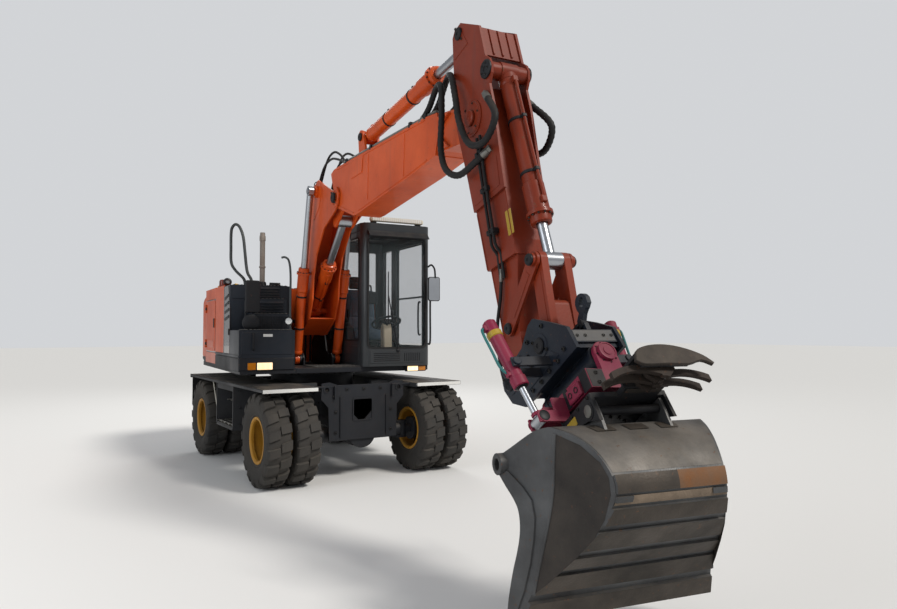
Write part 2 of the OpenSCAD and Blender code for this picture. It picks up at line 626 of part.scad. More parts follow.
module arm() color("#b5472a") boom_plane() {
  upper_outline = [ar(-830, 40), ar(-830, -60), ar(-790, -108), ar(-430, -180), ar(-35, -240), ar(425, -190),
    ar(700, -170), ar(700, 270), ar(430, 280), ar(65, 300), ar(-120, 292), ar(-180, 340), ar(-240, 356),
    ar(-300, 340), ar(-350, 298), ar(-628, 279)];
  difference() {
    union() {
      for (s = [-1, 1]) plate(s > 0 ? arm_hw - 20 : -arm_hw, 20) polygon(upper_outline);
      // Box of the lower arm
      difference() {
        plate(21 - arm_hw, 2 * arm_hw - 42) polygon([ar(380, -190), ar(915, -155), ar(1180, -138), ar(1180, 236),
          ar(1075, 250), ar(380, 246)]);
        plate(35 - arm_hw, 2 * arm_hw - 70) polygon([ar(396, -172), ar(915, -138), ar(1100, -126),
          ar(1100, 228), ar(1075, 232), ar(396, 230)]);
      }
      plate(-tip_hw, 2 * tip_hw) polygon([ar(1099, -142), ar(1450, -119), ar(1950, -95), ar(2060, -85),
        ar(2120, 0), ar(2060, 85), ar(1950, 105), ar(1700, 110), ar(1450, 165), ar(1099, 245)]);
      // Bosses that hold the arm cylinder's pin
      for (s = [-1, 1]) at(armcyl_top) cross_pin(62, s > 0 ? 65 : 19 - arm_hw, s > 0 ? arm_hw - 19 : -65);
      // Front covers of the upper plates, the head's with three ribs
      plate(19 - arm_hw, 2 * arm_hw - 38) polygon([ar(-150, 200), ar(65, 222), ar(385, 246), ar(385, 230),
        ar(65, 206), ar(-150, 184)]);
      plate(19 - arm_hw, 2 * arm_hw - 38) polygon([ar(-750, 122), ar(-628, 264), ar(-372, 283), ar(-372, 267),
        ar(-620, 248), ar(-738, 112)]);
      for (y = [-84, -6, 72]) plate(y, 12) polygon([ar(-640, 252), ar(-616, 278), ar(-390, 294), ar(-380, 282),
        ar(-380, 270)]);
      // Collars round the boom's pin
      for (s = [-1, 1]) at(arm_pin) cross_pin(140, s > 0 ? arm_hw - 1 : -arm_hw - 8, s > 0 ? arm_hw + 8 : 1 - arm_hw);
    }
    at(arm_pin) cross_pin(pin_r + gap, -200, 200);
    at(tip) cross_pin(pin_r + gap, -200, 200);
    at(side_pin) cross_pin(30 + gap, -200, 200);
  }
  for (s = [-1, 1]) at(buckcyl_foot) cross_pin(62, s > 0 ? 72 : 19 - arm_hw, s > 0 ? arm_hw - 19 : -72);
  at(buckcyl_foot) cross_pin(34, 19 - arm_hw, arm_hw - 19);
}

buckcyl_a = angle_of(knee - buckcyl_foot);
module bucket_cylinder_barrel() color("#b5472a") boom_plane() at(buckcyl_foot) along(buckcyl_a)
  barrel(buckcyl_br, buckcyl_rr, 1255, 70, 71.7, 34 + gap);
module bucket_cylinder_rod() color("#c9cccf") boom_plane() at(buckcyl_foot) along(buckcyl_a)
  rod(buckcyl_rr, 240, dist(buckcyl_foot, knee), 60, 66 - seat);

module side_links() color("#b5472a") boom_plane() {
  for (s = [-1, 1]) {
    y = s > 0 ? tip_hw + 7 : -tip_hw - 27;
    plate(y, 20) link_2d(side_pin, 52, knee, 58);
    at(knee) cross_pin(45, s > 0 ? y + 19 : y - 22, s > 0 ? y + 42 : y + 1);
  }
  at(side_pin) cross_pin(30, -tip_hw - 15, tip_hw + 15);
  for (s = [-1, 1]) at(knee) cross_pin(30, s > 0 ? 66 : -tip_hw - 15, s > 0 ? tip_hw + 15 : -66);
}

module bucket_link() color("#b5472a") boom_plane() difference() {
  union() {
    for (s = [-1, 1]) plate(s > 0 ? 66 : -tip_hw, tip_hw - 66) link_2d(knee, 60, link_pin, 60);
    plate(-67, 134) link_2d(knee + 0.55 * (link_pin - knee), 45, link_pin, 58);
    at(link_pin) cross_pin(60, seat - coupler_y, coupler_y - seat);
  }
  at(knee) cross_pin(30 + gap, -300, 300);
}

// Coupler: local X along its two pins, local Z towards the arm
module coupler_frame() boom_plane() at(tip) along(coupler_deg) children();
tilt_z = -267;
coupler_y = tip_hw + 45;
rotor_x = 400;
trunnion = [440, 130];
ear = [379, -270];
module coupler() color("#1d2733") coupler_frame() {
  for (s = [-1, 1]) plate(s > 0 ? coupler_y : -coupler_y - 25, 25)
    polygon([[-80, 60], [0, 90], [250, 110], [400, 185], [465, 190], [600, 60], [718, -66], [726, -222],
      [60, -222], [-60, -120], [-95, 0]]);
  at([0, 0]) cross_pin(pin_r, -coupler_y - 1, coupler_y + 1);
  box([120, -coupler_y - 1, -200], [690, coupler_y + 1, -170]);
  difference() {
    box([596, -coupler_y - 1, -171], [706, coupler_y + 1, -78]);
    box([610, -coupler_y - 2, -150], [692, coupler_y + 2, -70]);
  }
  plate(-30, 34) difference() {
    polygon([[600, -100], [600, -40], [640, 6], [690, 12], [708, -30], [704, -100]]);
    translate([654, -62]) circle(r = 34);
  }
  // Lifting hook with a long eye
  plate(-16, 32) difference() {
    union() {
      polygon([[640, -2], [690, 0], [724, 30], [796, 62], [806, 100], [786, 140], [740, 152], [700, 130],
        [684, 92], [690, 60], [644, 30]]);
      translate([745, 100]) circle(r = 58);
    }
    translate([738, 92]) circle(r = 20);
    translate([756, 108]) circle(r = 20);
    polygon([[724, 107], [738, 72], [770, 93], [756, 128]]);
  }
  // Bearing of the tilt shaft
  difference() {
    union() {
      translate([0, 0, tilt_z]) rod_x(85, 110, 690);
      box([110, -60, tilt_z], [690, 60, -171]);
    }
    translate([0, 0, tilt_z]) rod_x(60 + gap, 100, 700);
  }
  // Forks that hold the tilt barrels by their trunnions
  for (s = [-1, 1], x = [rotor_x - 72, rotor_x + 54]) difference() {
    box([x, s > 0 ? coupler_y + 24 : -trunnion[0] - 30, tilt_z + trunnion[1] - 30],
      [x + 18, s > 0 ? trunnion[0] + 30 : -coupler_y - 24, tilt_z + trunnion[1] + 30]);
    translate([0, s * trunnion[0], tilt_z + trunnion[1]]) rod_x(18 + seat, x - 1, x + 19);
  }
}

module tilt_frame() coupler_frame() translate([0, 0, tilt_z]) rotate([tilt_deg, 0, 0]) children();
module rotor_housing() color("#8c2440") tilt_frame() {
  rod_x(60, 70, 752);
  for (x = [70, 696]) {
    rod_x(78, x, x + 34);
    box([x, -78, -180], [x + 34, 78, 0]);
  }
  box([70, -200, -245], [730, 200, -120]);
  // Ears of the tilt rods
  for (s = [-1, 1], x = [rotor_x - 62, rotor_x + 46]) {
    box([x, s > 0 ? 199 : -ear[0] - 35, ear[1] - 36], [x + 16, s > 0 ? ear[0] + 35 : -199, ear[1] + 36]);
    box([x, s > 0 ? 199 : -290, ear[1] + 35], [x + 16, s > 0 ? 290 : -199, -150]);
  }
}

// Where a tilt rod's eye stands, seen from the tilt shaft; s is 1 on the left
function ear_at(s) = [s * ear[0] * cos(tilt_deg) - ear[1] * sin(tilt_deg),
  s * ear[0] * sin(tilt_deg) + ear[1] * cos(tilt_deg)];
function ear_off(s) = ear_at(s) - [s * trunnion[0], trunnion[1]];
module tilt_line(s) coupler_frame() translate([rotor_x, s * trunnion[0], tilt_z + trunnion[1]])
  rotate([atan2(ear_off(s)[0], -ear_off(s)[1]), 0, 0]) children();
module tilt_barrel(s) color("#a02a4a") tilt_line(s) difference() {
  union() {
    translate([0, 0, -140]) cylinder(r = tilt_br, h = 480);
    rod_x(18, -76, 76);
  }
  translate([0, 0, -141]) cylinder(r = tilt_rr + gap, h = 461);
}
module tilt_barrel_right() tilt_barrel(-1);
module tilt_barrel_left() tilt_barrel(1);
module tilt_rod(s) color("#c9cccf") tilt_line(s) {
  l = norm(ear_off(s));
  translate([0, 0, -l + 20]) cylinder(r = tilt_rr, h = l + 80);
  translate([0, 0, -l]) rod_x(34, seat - 46, 46 - seat);
}
module tilt_rod_right() tilt_rod(-1);
module tilt_rod_left() tilt_rod(1);

module turned() tilt_frame() translate([rotor_x, 0, 0]) rotate([0, 0, rotor_deg]) children();
// Hitch: its cheeks hold the bucket's bracket with two pins, its boom the gripper
module rotor_frame() color("#202327") turned() {
  translate([0, 0, -316]) cylinder(r = 188, h = 71 - seat);
  for (y = [-250, 230]) plate(y, 20) polygon([[-190, -316], [400, -316], [405, -490], [300, -438], [200, -414],
    [60, -414], [-20, -432], [-190, -432]]);
  box([-190, -231, -345], [400, 231, -315]);
  for (p = hitch_pins) at(p) cross_pin(25, -231, 231);
  // Boom and cassette of the gripper
  box([399, jaw_mid - 130, -345], [496, jaw_mid + 130, -315]);
  for (x = [480, 680]) difference() {
    box([x, jaw_mid - 150, -346], [x + 16, jaw_mid + 150, -257]);
    for (s = [-1, 1]) translate([0, jaw_mid + s * jaw_y, jaw_z]) rod_x(18 + seat, x - 1, x + 17);
  }
  for (y = [jaw_mid - 150, jaw_mid + 88]) box([480, y, -275], [696, y + 62, -257]);
}
hitch_pins = [[-125, -385], [335, -395]];
jaw_mid = 60;
jaw_y = 45;
jaw_z = -297;
// Each jaw has two curved tines that cross under the other jaw's shaft
module jaw(s) color("#5c4636") turned() translate([0, jaw_mid, 0]) {
  y = s * jaw_y;
  translate([0, y, jaw_z]) rod_x(18, 482, 695);
  translate([0, y, jaw_z]) rod_x(28, 496 + seat, 680 - seat);
  for (x = s > 0 ? [550, 640] : [505, 595]) translate([x, 0, 0]) rotate([90, 0, 90]) linear_extrude(26)
    mirror([s > 0 ? 1 : 0, 0]) {
      translate([-jaw_y, jaw_z]) circle(r = 34);
      polygon([[-78, jaw_z], [-12, jaw_z], [20, -352], [20, -388], [-30, -392], [-78, -350]]);
      difference() {
        intersection() {
          translate([150, -740]) circle(r = 420, $fn = 96);
          translate([-20, -440]) square([350, 140]);
        }
        translate([150, -740]) circle(r = 384, $fn = 96);
      }
    }
}
module jaw_left() jaw(1);
module jaw_right() jaw(-1);

// Bucket: local X level and away from the machine, local Z up. Its sides come
// together towards the back, so each is cut by a leaning plane
bucket_x = 350;
bucket_z = -441;
bucket_a = 36.8;
module bucket_frame() turned() translate([bucket_x, 0, bucket_z]) rotate([0, bucket_a, 0]) children();
// A point of the bucket's own plane in the rotor's directions
function bk(x, z) = [bucket_x + x * cos(bucket_a) + z * sin(bucket_a), bucket_z - x * sin(bucket_a) + z * cos(bucket_a)];
bucket_eye = [-312, -274];
bucket_back = [[-235, -165], [-125, -79], [-50, -48], [-12, -46], [85, -66], [171, -103], [236, -150],
  [289, -206], [322, -258], [337, -314], [333, -370], [308, -434], [271, -503], [202, -590], [120, -680],
  [28, -764], [-20, -836], [-63, -908], [-92, -975], [-135, -1070]];
bucket_edge = [[-180, -1085], [-187, -1019], [-182, -925], [-170, -813], [-157, -735], [-147, -651],
  [-148, -575], [-165, -497], [-200, -440], [-246, -389], [-295, -330]];
// Smooth line through the points, its outward normals, and a line beside it
function smooth(p, n) = [for (i = [0:len(p) - 2], k = [0:n - 1]) bend(p[max(i - 1, 0)], p[i], p[i + 1],
  p[min(i + 2, len(p) - 1)], k / n), p[len(p) - 1]];
function bend(a, b, c, d, t) = 0.5 * (2 * b + (c - a) * t + (2 * a - 5 * b + 4 * c - d) * t * t
  + (3 * b - a - 3 * c + d) * t * t * t);
function out_of(p, i) = unit(p[min(i + 1, len(p) - 1)] - p[max(i - 1, 0)]);
function unit(d) = [-d[1], d[0]] / norm(d);
function beside(p, t) = [for (i = [0:len(p) - 1]) p[i] + t * out_of(p, i)];
function length_to(p, i) = i == 0 ? 0 : length_to(p, i - 1) + norm(p[i] - p[i - 1]);
function part_of(p, s0, s1) = [for (i = [0:len(p) - 1]) if (length_to(p, i) >= s0 && length_to(p, i) <= s1) i];
function reversed(p) = [for (i = [len(p) - 1:-1:0]) p[i]];
function band(p, s0, s1, t) = concat([for (i = part_of(p, s0, s1)) p[i] + t * out_of(p, i)],
  reversed([for (i = part_of(p, s0, s1)) p[i] - out_of(p, i)]));
back_line = smooth(bucket_back, 4);
// Room between the two side planes, each moved inwards
module between_sides(inwards) rotate([0, -9.75, 0]) translate([0, 0, -1500]) linear_extrude(2000)
  polygon([[-800, -bucket_half(-800) + inwards], [800, -bucket_half(800) + inwards],
    [800, bucket_half(800) - inwards], [-800, bucket_half(-800) - inwards]]);
function bucket_half(x) = bucket_w / 2 - bucket_taper * (x + 355);
function side_at(p) = bucket_half(p[0] * cos(9.75) + p[1] * sin(9.75));
// Wear strips: from and to along the back line, thickness, inset of their ends
bucket_strips = [[654, 746, 12, 3], [805, 930, 14, 1], [958, 1112, 14, 1], [1140, 1296, 14, 1],
  [1322, 1480, 14, 1], [1506, 1640, 20, 0]];
module bucket() color("#6a5d52") {
  bucket_shell();
  // Bracket on the back, held by the hitch's two pins
  turned() for (y = [-224, 206]) difference() {
    plate(y, 18) polygon([[-165, -425], [-165, -352], [378, -352], [382, -430], bk(85, -74), bk(-12, -54),
      bk(-125, -88), bk(-226, -172), [30, -445]]);
    for (p = hitch_pins) at(p) cross_pin(25 + seat, y - 1, y + 19);
  }
}
module bucket_shell() bucket_frame() difference() {
  union() {
    bucket_body();
    for (s = [-1, 1]) at(bucket_eye)
      cross_pin(60, s > 0 ? side_at(bucket_eye) - 50 : -side_at(bucket_eye) - 14,
        s > 0 ? side_at(bucket_eye) + 14 : 50 - side_at(bucket_eye));
  }
  for (s = [-1, 1]) at(bucket_eye) cross_pin(32, s > 0 ? 400 : -800, s > 0 ? 800 : -400);
}
module bucket_body() {
  full = 1400;
  difference() {
    union() {
      intersection() {
        plate(-full / 2, full) polygon(concat(back_line, smooth(bucket_edge, 3), [[-312, -215], [-290, -208]]));
        between_sides(0);
      }
      // Thick front edges of the sides
      difference() {
        intersection() {
          plate(-full / 2, full) polygon(concat(smooth(bucket_edge, 3), [[-250, -300], [-150, -372], [-93, -432],
            [-68, -520], [-66, -633], [-76, -760], [-100, -900], [-128, -1000]]));
          between_sides(-12);
        }
        between_sides(1);
      }
      for (b = bucket_strips) intersection() {
        plate(-full / 2, full) polygon(band(back_line, b[0], b[1], b[2]));
        between_sides(b[3]);
      }
      // Short end blocks under the first strip
      difference() {
        intersection() {
          plate(-full / 2, full) polygon(band(back_line, 756, 796, 12));
          between_sides(2);
        }
        between_sides(96);
      }
    }
    intersection() {
      plate(-full / 2, full) polygon(concat(beside(back_line, -bucket_t), [[-150, -1400], [-900, -1400],
        [-900, 300], bucket_back[0] + 6 * out_of(back_line, 0)]));
      between_sides(bucket_t * 1.12);
    }
  }
}

chassis_frame();
slew_ring();
front_axle();
rear_axle();
drive_shaft();
fender_left();
fender_right();
steps_left();
steps_right();
knuckle_left();
knuckle_right();
tyres_front_left();
tyres_front_right();
tyres_rear_left();
tyres_rear_right();
rims_front_left();
rims_front_right();
rims_rear_left();
rims_rear_right();
upper_deck();
counterweight();
engine_block();
engine_housing();
hood_lid();
side_door_right();
side_door_left();
front_box();
cab_shell();
cab_glass();
cab_door();
cab_inside();
rails_mirrors();
lower_boom();
lift_barrels();
lift_rods();
adjust_barrel();
adjust_rod();
upper_boom();
arm_cylinder_barrel();
arm_cylinder_rod();
arm();
bucket_cylinder_barrel();
bucket_cylinder_rod();
side_links();
bucket_link();
coupler();
rotor_housing();
tilt_barrel_right();
tilt_barrel_left();
tilt_rod_right();
tilt_rod_left();
rotor_frame();
jaw_left();
jaw_right();
bucket();
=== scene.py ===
"""Looks of a wheeled excavator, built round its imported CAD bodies. Metres, Z up, X to the steered axle."""

import math
import random

import bpy
import bmesh
from mathutils import Matrix, Vector


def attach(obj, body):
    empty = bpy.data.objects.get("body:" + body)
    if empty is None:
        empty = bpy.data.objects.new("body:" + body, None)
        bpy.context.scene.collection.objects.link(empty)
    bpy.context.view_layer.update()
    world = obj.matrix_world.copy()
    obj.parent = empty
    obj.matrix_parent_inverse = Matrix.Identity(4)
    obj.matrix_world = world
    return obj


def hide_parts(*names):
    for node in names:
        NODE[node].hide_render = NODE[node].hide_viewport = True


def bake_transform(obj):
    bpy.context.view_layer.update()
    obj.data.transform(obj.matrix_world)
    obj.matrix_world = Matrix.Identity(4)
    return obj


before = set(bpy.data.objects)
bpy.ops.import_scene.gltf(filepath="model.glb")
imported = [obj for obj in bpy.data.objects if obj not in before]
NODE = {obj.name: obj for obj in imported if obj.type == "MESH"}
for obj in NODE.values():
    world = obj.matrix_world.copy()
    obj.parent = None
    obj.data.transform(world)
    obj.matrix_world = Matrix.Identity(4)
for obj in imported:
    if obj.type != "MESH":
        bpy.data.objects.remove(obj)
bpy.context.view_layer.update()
COLL = bpy.context.scene.collection


# Materials
def new_material(name):
    m = bpy.data.materials.new(name)
    m.use_nodes = True
    return m, m.node_tree.nodes, m.node_tree.links


def noise(nodes, links, coord, scale, detail=4.0, rough=0.55, stretch=None):
    n = nodes.new("ShaderNodeTexNoise")
    n.inputs["Scale"].default_value = scale
    n.inputs["Detail"].default_value = detail
    n.inputs["Roughness"].default_value = rough
    source = coord
    if stretch:
        mp = nodes.new("ShaderNodeMapping")
        mp.inputs["Scale"].default_value = stretch
        links.new(coord, mp.inputs["Vector"])
        source = mp.outputs["Vector"]
    links.new(source, n.inputs["Vector"])
    return n.outputs["Fac"]


def ramp(nodes, links, fac, lo, hi, a=0.0, b=1.0):
    r = nodes.new("ShaderNodeMapRange")
    r.inputs["From Min"].default_value = lo
    r.inputs["From Max"].default_value = hi
    r.inputs["To Min"].default_value = a
    r.inputs["To Max"].default_value = b
    links.new(fac, r.inputs["Value"])
    return r.outputs["Result"]


def mix(nodes, links, fac, a, b):
    m = nodes.new("ShaderNodeMix")
    m.data_type = "RGBA"
    if isinstance(fac, float):
        m.inputs["Factor"].default_value = fac
    else:
        links.new(fac, m.inputs["Factor"])
    for key, value in (("A", a), ("B", b)):
        socket = [s for s in m.inputs if s.name == key and s.type == "RGBA"][0]
        if isinstance(value, tuple):
            socket.default_value = (*value, 1.0)
        else:
            links.new(value, socket)
    return [s for s in m.outputs if s.type == "RGBA"][0]


def times(nodes, links, a, b):
    m = nodes.new("ShaderNodeMath")
    m.operation = "MULTIPLY"
    m.use_clamp = True
    for i, v in enumerate((a, b)):
        if isinstance(v, float):
            m.inputs[i].default_value = v
        else:
            links.new(v, m.inputs[i])
    return m.outputs["Value"]


DUST = (0.23, 0.19, 0.145)


def finish_material(name, base, dark=None, rough=(0.35, 0.55), metal=0.0, dust=0.25, dust_rgb=DUST, speck=0.0,
                    speck_rgb=(0.12, 0.05, 0.025), streak=0.0, bump=0.15, grain=60.0, coat=0.0, patch=1.3,
                    shine=0.25):
    """Paint, rubber or steel: mottling, dust on what faces up, specks of wear and a fine grain."""
    m, nodes, links = new_material(name)
    bsdf = nodes["Principled BSDF"]
    tc = nodes.new("ShaderNodeTexCoord")
    obj = tc.outputs["Object"]
    dark = dark or tuple(c * 0.72 for c in base)
    big = noise(nodes, links, obj, patch, 6.0, 0.6)
    colour = mix(nodes, links, ramp(nodes, links, big, 0.35, 0.68), base, dark)
    if streak:
        run = noise(nodes, links, obj, 9.0, 3.0, 0.6, (1.0, 1.0, 0.12))
        amount = times(nodes, links, ramp(nodes, links, run, 0.56, 0.72), streak)
        colour = mix(nodes, links, amount, colour, tuple(c * 0.45 + 0.02 for c in base))
    if speck:
        fine = noise(nodes, links, obj, 26.0, 8.0, 0.72)
        amount = times(nodes, links, ramp(nodes, links, fine, 0.66 - 0.1 * speck, 0.72 - 0.08 * speck), 0.85)
        colour = mix(nodes, links, amount, colour, speck_rgb)
    if dust:
        split = nodes.new("ShaderNodeSeparateXYZ")
        links.new(tc.outputs["Normal"], split.inputs["Vector"])
        up = ramp(nodes, links, split.outputs["Z"], 0.15, 0.95, 0.08, 1.0)
        cloud = ramp(nodes, links, noise(nodes, links, obj, 5.0, 6.0, 0.65), 0.36, 0.7)
        colour = mix(nodes, links, times(nodes, links, times(nodes, links, up, cloud), float(dust)), colour,
                     dust_rgb)
    links.new(colour, bsdf.inputs["Base Color"])
    tiny = noise(nodes, links, obj, grain, 3.0, 0.6)
    links.new(ramp(nodes, links, big, 0.3, 0.7, rough[0], rough[1]), bsdf.inputs["Roughness"])
    bsdf.inputs["Metallic"].default_value = metal
    bsdf.inputs["Specular IOR Level"].default_value = shine
    if coat:
        bsdf.inputs["Coat Weight"].default_value = coat
    if bump:
        b = nodes.new("ShaderNodeBump")
        b.inputs["Strength"].default_value = bump
        b.inputs["Distance"].default_value = 0.004
        links.new(tiny, b.inputs["Height"])
        links.new(b.outputs["Normal"], bsdf.inputs["Normal"])
    return m


def glass_material(name, tint, alpha):
    m, nodes, links = new_material(name)
    bsdf = nodes["Principled BSDF"]
    bsdf.inputs["Base Color"].default_value = (*tint, 1.0)
    bsdf.inputs["Alpha"].default_value = alpha
    tc = nodes.new("ShaderNodeTexCoord")
    film = noise(nodes, links, tc.outputs["Object"], 4.0, 5.0, 0.6)
    links.new(ramp(nodes, links, film, 0.3, 0.7, 0.03, 0.14), bsdf.inputs["Roughness"])
    return m


def lens_material(name, glow=(1.0, 1.0, 1.0), power=0.0):
    """Ribbed clear lens with a bright bowl behind it, lit if power is above 0."""
    m, nodes, links = new_material(name)
    bsdf = nodes["Principled BSDF"]
    tc = nodes.new("ShaderNodeTexCoord")
    wave = nodes.new("ShaderNodeTexWave")
    wave.inputs["Scale"].default_value = 60.0
    links.new(tc.outputs["Object"], wave.inputs["Vector"])
    links.new(mix(nodes, links, wave.outputs["Fac"], (0.55, 0.58, 0.6), (0.85, 0.86, 0.84)),
              bsdf.inputs["Base Color"])
    bsdf.inputs["Metallic"].default_value = 0.5
    bsdf.inputs["Roughness"].default_value = 0.15
    bsdf.inputs["Coat Weight"].default_value = 0.8
    bsdf.inputs["Emission Color"].default_value = (*glow, 1.0)
    bsdf.inputs["Emission Strength"].default_value = power
    return m


ORANGE = (0.64, 0.085, 0.006)
M = {
    "orange": finish_material("orange_paint", ORANGE, (0.46, 0.055, 0.006), (0.34, 0.5), speck=0.35,
                              streak=0.35, dust=0.22, coat=0.1),
    "hood": finish_material("hood_gloss", (0.6, 0.085, 0.01), (0.48, 0.062, 0.008), (0.26, 0.4), streak=0.3,
                            dust=0.25, coat=0.15),
    # The arm's red-brown paint, darkened by painted shade for the shade the arm stands in, with specks,
    # streaks and dust
    "arm": finish_material("arm_paint_and_shade", (0.22, 0.026, 0.007), (0.15, 0.018, 0.006), (0.36, 0.52), speck=0.5,
                           streak=0.4, dust=0.2, coat=0.08),
    "charcoal": finish_material("charcoal_paint", (0.014, 0.016, 0.021), (0.009, 0.01, 0.013), (0.4, 0.62),
                                speck=0.2, dust=0.3),
    "fender": finish_material("fender_paint", (0.04, 0.042, 0.046), (0.026, 0.027, 0.03), (0.45, 0.7),
                              dust=0.55),
    "cab": finish_material("cab_paint", (0.03, 0.034, 0.038), (0.02, 0.023, 0.026), (0.3, 0.5), dust=0.3,
                           coat=0.2),
    "navy": finish_material("navy_plastic", (0.016, 0.021, 0.03), (0.01, 0.013, 0.019), (0.3, 0.5), dust=0.3),
    "brown_gloss": finish_material("dark_gloss", (0.035, 0.018, 0.013), (0.022, 0.012, 0.01), (0.12, 0.25),
                                   dust=0.2, coat=0.6, bump=0.05),
    "ring": finish_material("ring_steel", (0.09, 0.09, 0.092), None, (0.4, 0.6), metal=0.6, dust=0.3),
    "tyre": finish_material("tyre_rubber", (0.032, 0.031, 0.03), (0.055, 0.05, 0.044), (0.75, 0.92),
                            dust=0.35, dust_rgb=(0.15, 0.13, 0.105), bump=0.4, grain=90.0),
    "rim": finish_material("rim_yellow", (0.5, 0.25, 0.02), (0.34, 0.16, 0.018), (0.4, 0.6), speck=0.4,
                           dust=0.3),
    "chrome": finish_material("rod_chrome", (0.42, 0.44, 0.47), (0.36, 0.38, 0.41), (0.3, 0.4), metal=1.0,
                              dust=0.0, bump=0.03),
    "engine": finish_material("engine_grey", (0.12, 0.12, 0.125), None, (0.5, 0.7), dust=0.3),
    "seat": finish_material("seat_fabric", (0.07, 0.1, 0.14), None, (0.8, 0.95), dust=0.1, bump=0.6,
                            grain=300.0),
    "coupler": finish_material("coupler_navy", (0.009, 0.015, 0.026), (0.006, 0.009, 0.016), (0.35, 0.55),
                               speck=0.4, dust=0.25),
    "magenta": finish_material("rotator_magenta", (0.25, 0.018, 0.055), (0.16, 0.014, 0.04), (0.35, 0.55),
                               speck=0.4, dust=0.3),
    "black": finish_material("black_steel", (0.009, 0.01, 0.013), None, (0.4, 0.6), speck=0.3, dust=0.2),
    "tine": finish_material("tine_steel", (0.04, 0.027, 0.02), (0.02, 0.015, 0.013), (0.5, 0.75), metal=0.2,
                            speck=0.5, dust=0.2, bump=0.3),
    "bucket": finish_material("bucket_steel", (0.1, 0.104, 0.108), (0.045, 0.045, 0.047), (0.38, 0.62),
                              metal=0.4, speck=0.45, speck_rgb=(0.12, 0.055, 0.028), streak=0.4, dust=0.4,
                              bump=0.35, patch=2.2),
    "worn": finish_material("worn_steel", (0.16, 0.148, 0.135), (0.07, 0.066, 0.062), (0.45, 0.65),
                            metal=0.3, speck=0.5, speck_rgb=(0.1, 0.05, 0.03), streak=0.5, dust=0.35,
                            bump=0.3, patch=3.0),
    "rusty": finish_material("rusty_strip", (0.11, 0.09, 0.07), (0.19, 0.085, 0.035), (0.5, 0.7), metal=0.3,
                             speck=0.6, speck_rgb=(0.2, 0.07, 0.02), dust=0.3, bump=0.4, patch=3.5),
    "strip": finish_material("wear_strip", (0.07, 0.058, 0.048), (0.038, 0.034, 0.03), (0.45, 0.7),
                             metal=0.35, speck=0.5, speck_rgb=(0.13, 0.065, 0.035), dust=0.3, bump=0.4,
                             patch=3.0),
    "mud": finish_material("dry_mud", (0.22, 0.17, 0.125), (0.13, 0.1, 0.075), (0.85, 0.98), dust=0.4,
                           bump=0.9, grain=35.0, patch=6.0),
    "tine_dark": finish_material("cassette_steel", (0.045, 0.034, 0.028), (0.025, 0.022, 0.02), (0.5, 0.7),
                                 metal=0.3, speck=0.5, dust=0.3, bump=0.3),
    "glass": glass_material("cab_glazing", (0.08, 0.1, 0.105), 0.13),
    # Painted shade: the wheel's disc and hub, a darker copy of the rim's yellow for the shadow in the rim's
    # deep well, with specks and dust
    "rim_painted_shade": finish_material("hub_painted_shade", (0.16, 0.11, 0.04), None, (0.4, 0.6), speck=0.4, dust=0.35),
    "bolt": finish_material("bolt_steel", (0.075, 0.072, 0.068), None, (0.35, 0.55), metal=0.6, speck=0.3,
                            dust=0.2),
    "steel": finish_material("zinc_steel", (0.2, 0.195, 0.18), None, (0.3, 0.5), metal=0.7, speck=0.2,
                             dust=0.25),
    "rubber": finish_material("hose_rubber", (0.012, 0.012, 0.013), None, (0.5, 0.7), dust=0.25,
                              grain=160.0, bump=0.3),
    "white": finish_material("white_reflector", (0.72, 0.72, 0.7), (0.6, 0.6, 0.57), (0.35, 0.5), dust=0.25),
    "pale": finish_material("pale_strap", (0.46, 0.44, 0.38), None, (0.4, 0.6), dust=0.35),
    "grey": finish_material("grey_steel", (0.1, 0.1, 0.102), None, (0.4, 0.6), metal=0.4, speck=0.3,
                            dust=0.3),
    "silver": finish_material("silver_trim", (0.5, 0.5, 0.5), None, (0.2, 0.35), metal=0.8, dust=0.1),
    "cream": finish_material("cream_plastic", (0.62, 0.56, 0.42), (0.5, 0.45, 0.33), (0.35, 0.5), dust=0.25),
    "beige": finish_material("beige_plastic", (0.42, 0.36, 0.26), None, (0.45, 0.6), dust=0.15),
    "yellow": finish_material("blank_label", (0.42, 0.28, 0.03), (0.34, 0.22, 0.03), (0.35, 0.5), dust=0.25,
                              speck=0.2),
    "teal": finish_material("teal_hose", (0.02, 0.16, 0.16), None, (0.4, 0.6), dust=0.2),
    "amber": finish_material("amber_lens", (0.6, 0.2, 0.01), None, (0.1, 0.2), dust=0.1, coat=0.6, bump=0.02),
    "red_lamp": finish_material("red_lens", (0.16, 0.025, 0.015), None, (0.1, 0.2), dust=0.1, coat=0.6,
                                bump=0.02),
    "mirror": finish_material("mirror_glass", (0.75, 0.77, 0.8), None, (0.02, 0.05), metal=1.0, dust=0.0,
                              bump=0.0),
    "screen": finish_material("display_glass", (0.015, 0.02, 0.03), None, (0.05, 0.1), dust=0.0, coat=0.5,
                              bump=0.0),
    "seat_black": finish_material("headrest_fabric", (0.02, 0.02, 0.022), None, (0.8, 0.95), dust=0.1,
                                  bump=0.6, grain=300.0),
    "exhaust": finish_material("exhaust_steel", (0.27, 0.25, 0.23), (0.19, 0.15, 0.12), (0.55, 0.75),
                               metal=0.3, speck=0.5, dust=0.2),
    "rail": finish_material("rail_grey", (0.06, 0.068, 0.07), None, (0.4, 0.55), metal=0.3, speck=0.3,
                            dust=0.2),
    "cap_yellow": finish_material("cap_yellow", (0.65, 0.36, 0.01), None, (0.25, 0.4), dust=0.15, coat=0.3),
    "side_dark": finish_material("muddy_side", (0.05, 0.042, 0.036), (0.028, 0.025, 0.024), (0.5, 0.75),
                                 metal=0.2, speck=0.4, dust=0.3, bump=0.4, patch=3.0),
    "lens": lens_material("lamp_lens"),
    "lamp_on": lens_material("lamp_lit", (1.0, 0.66, 0.3), 1.3),
}
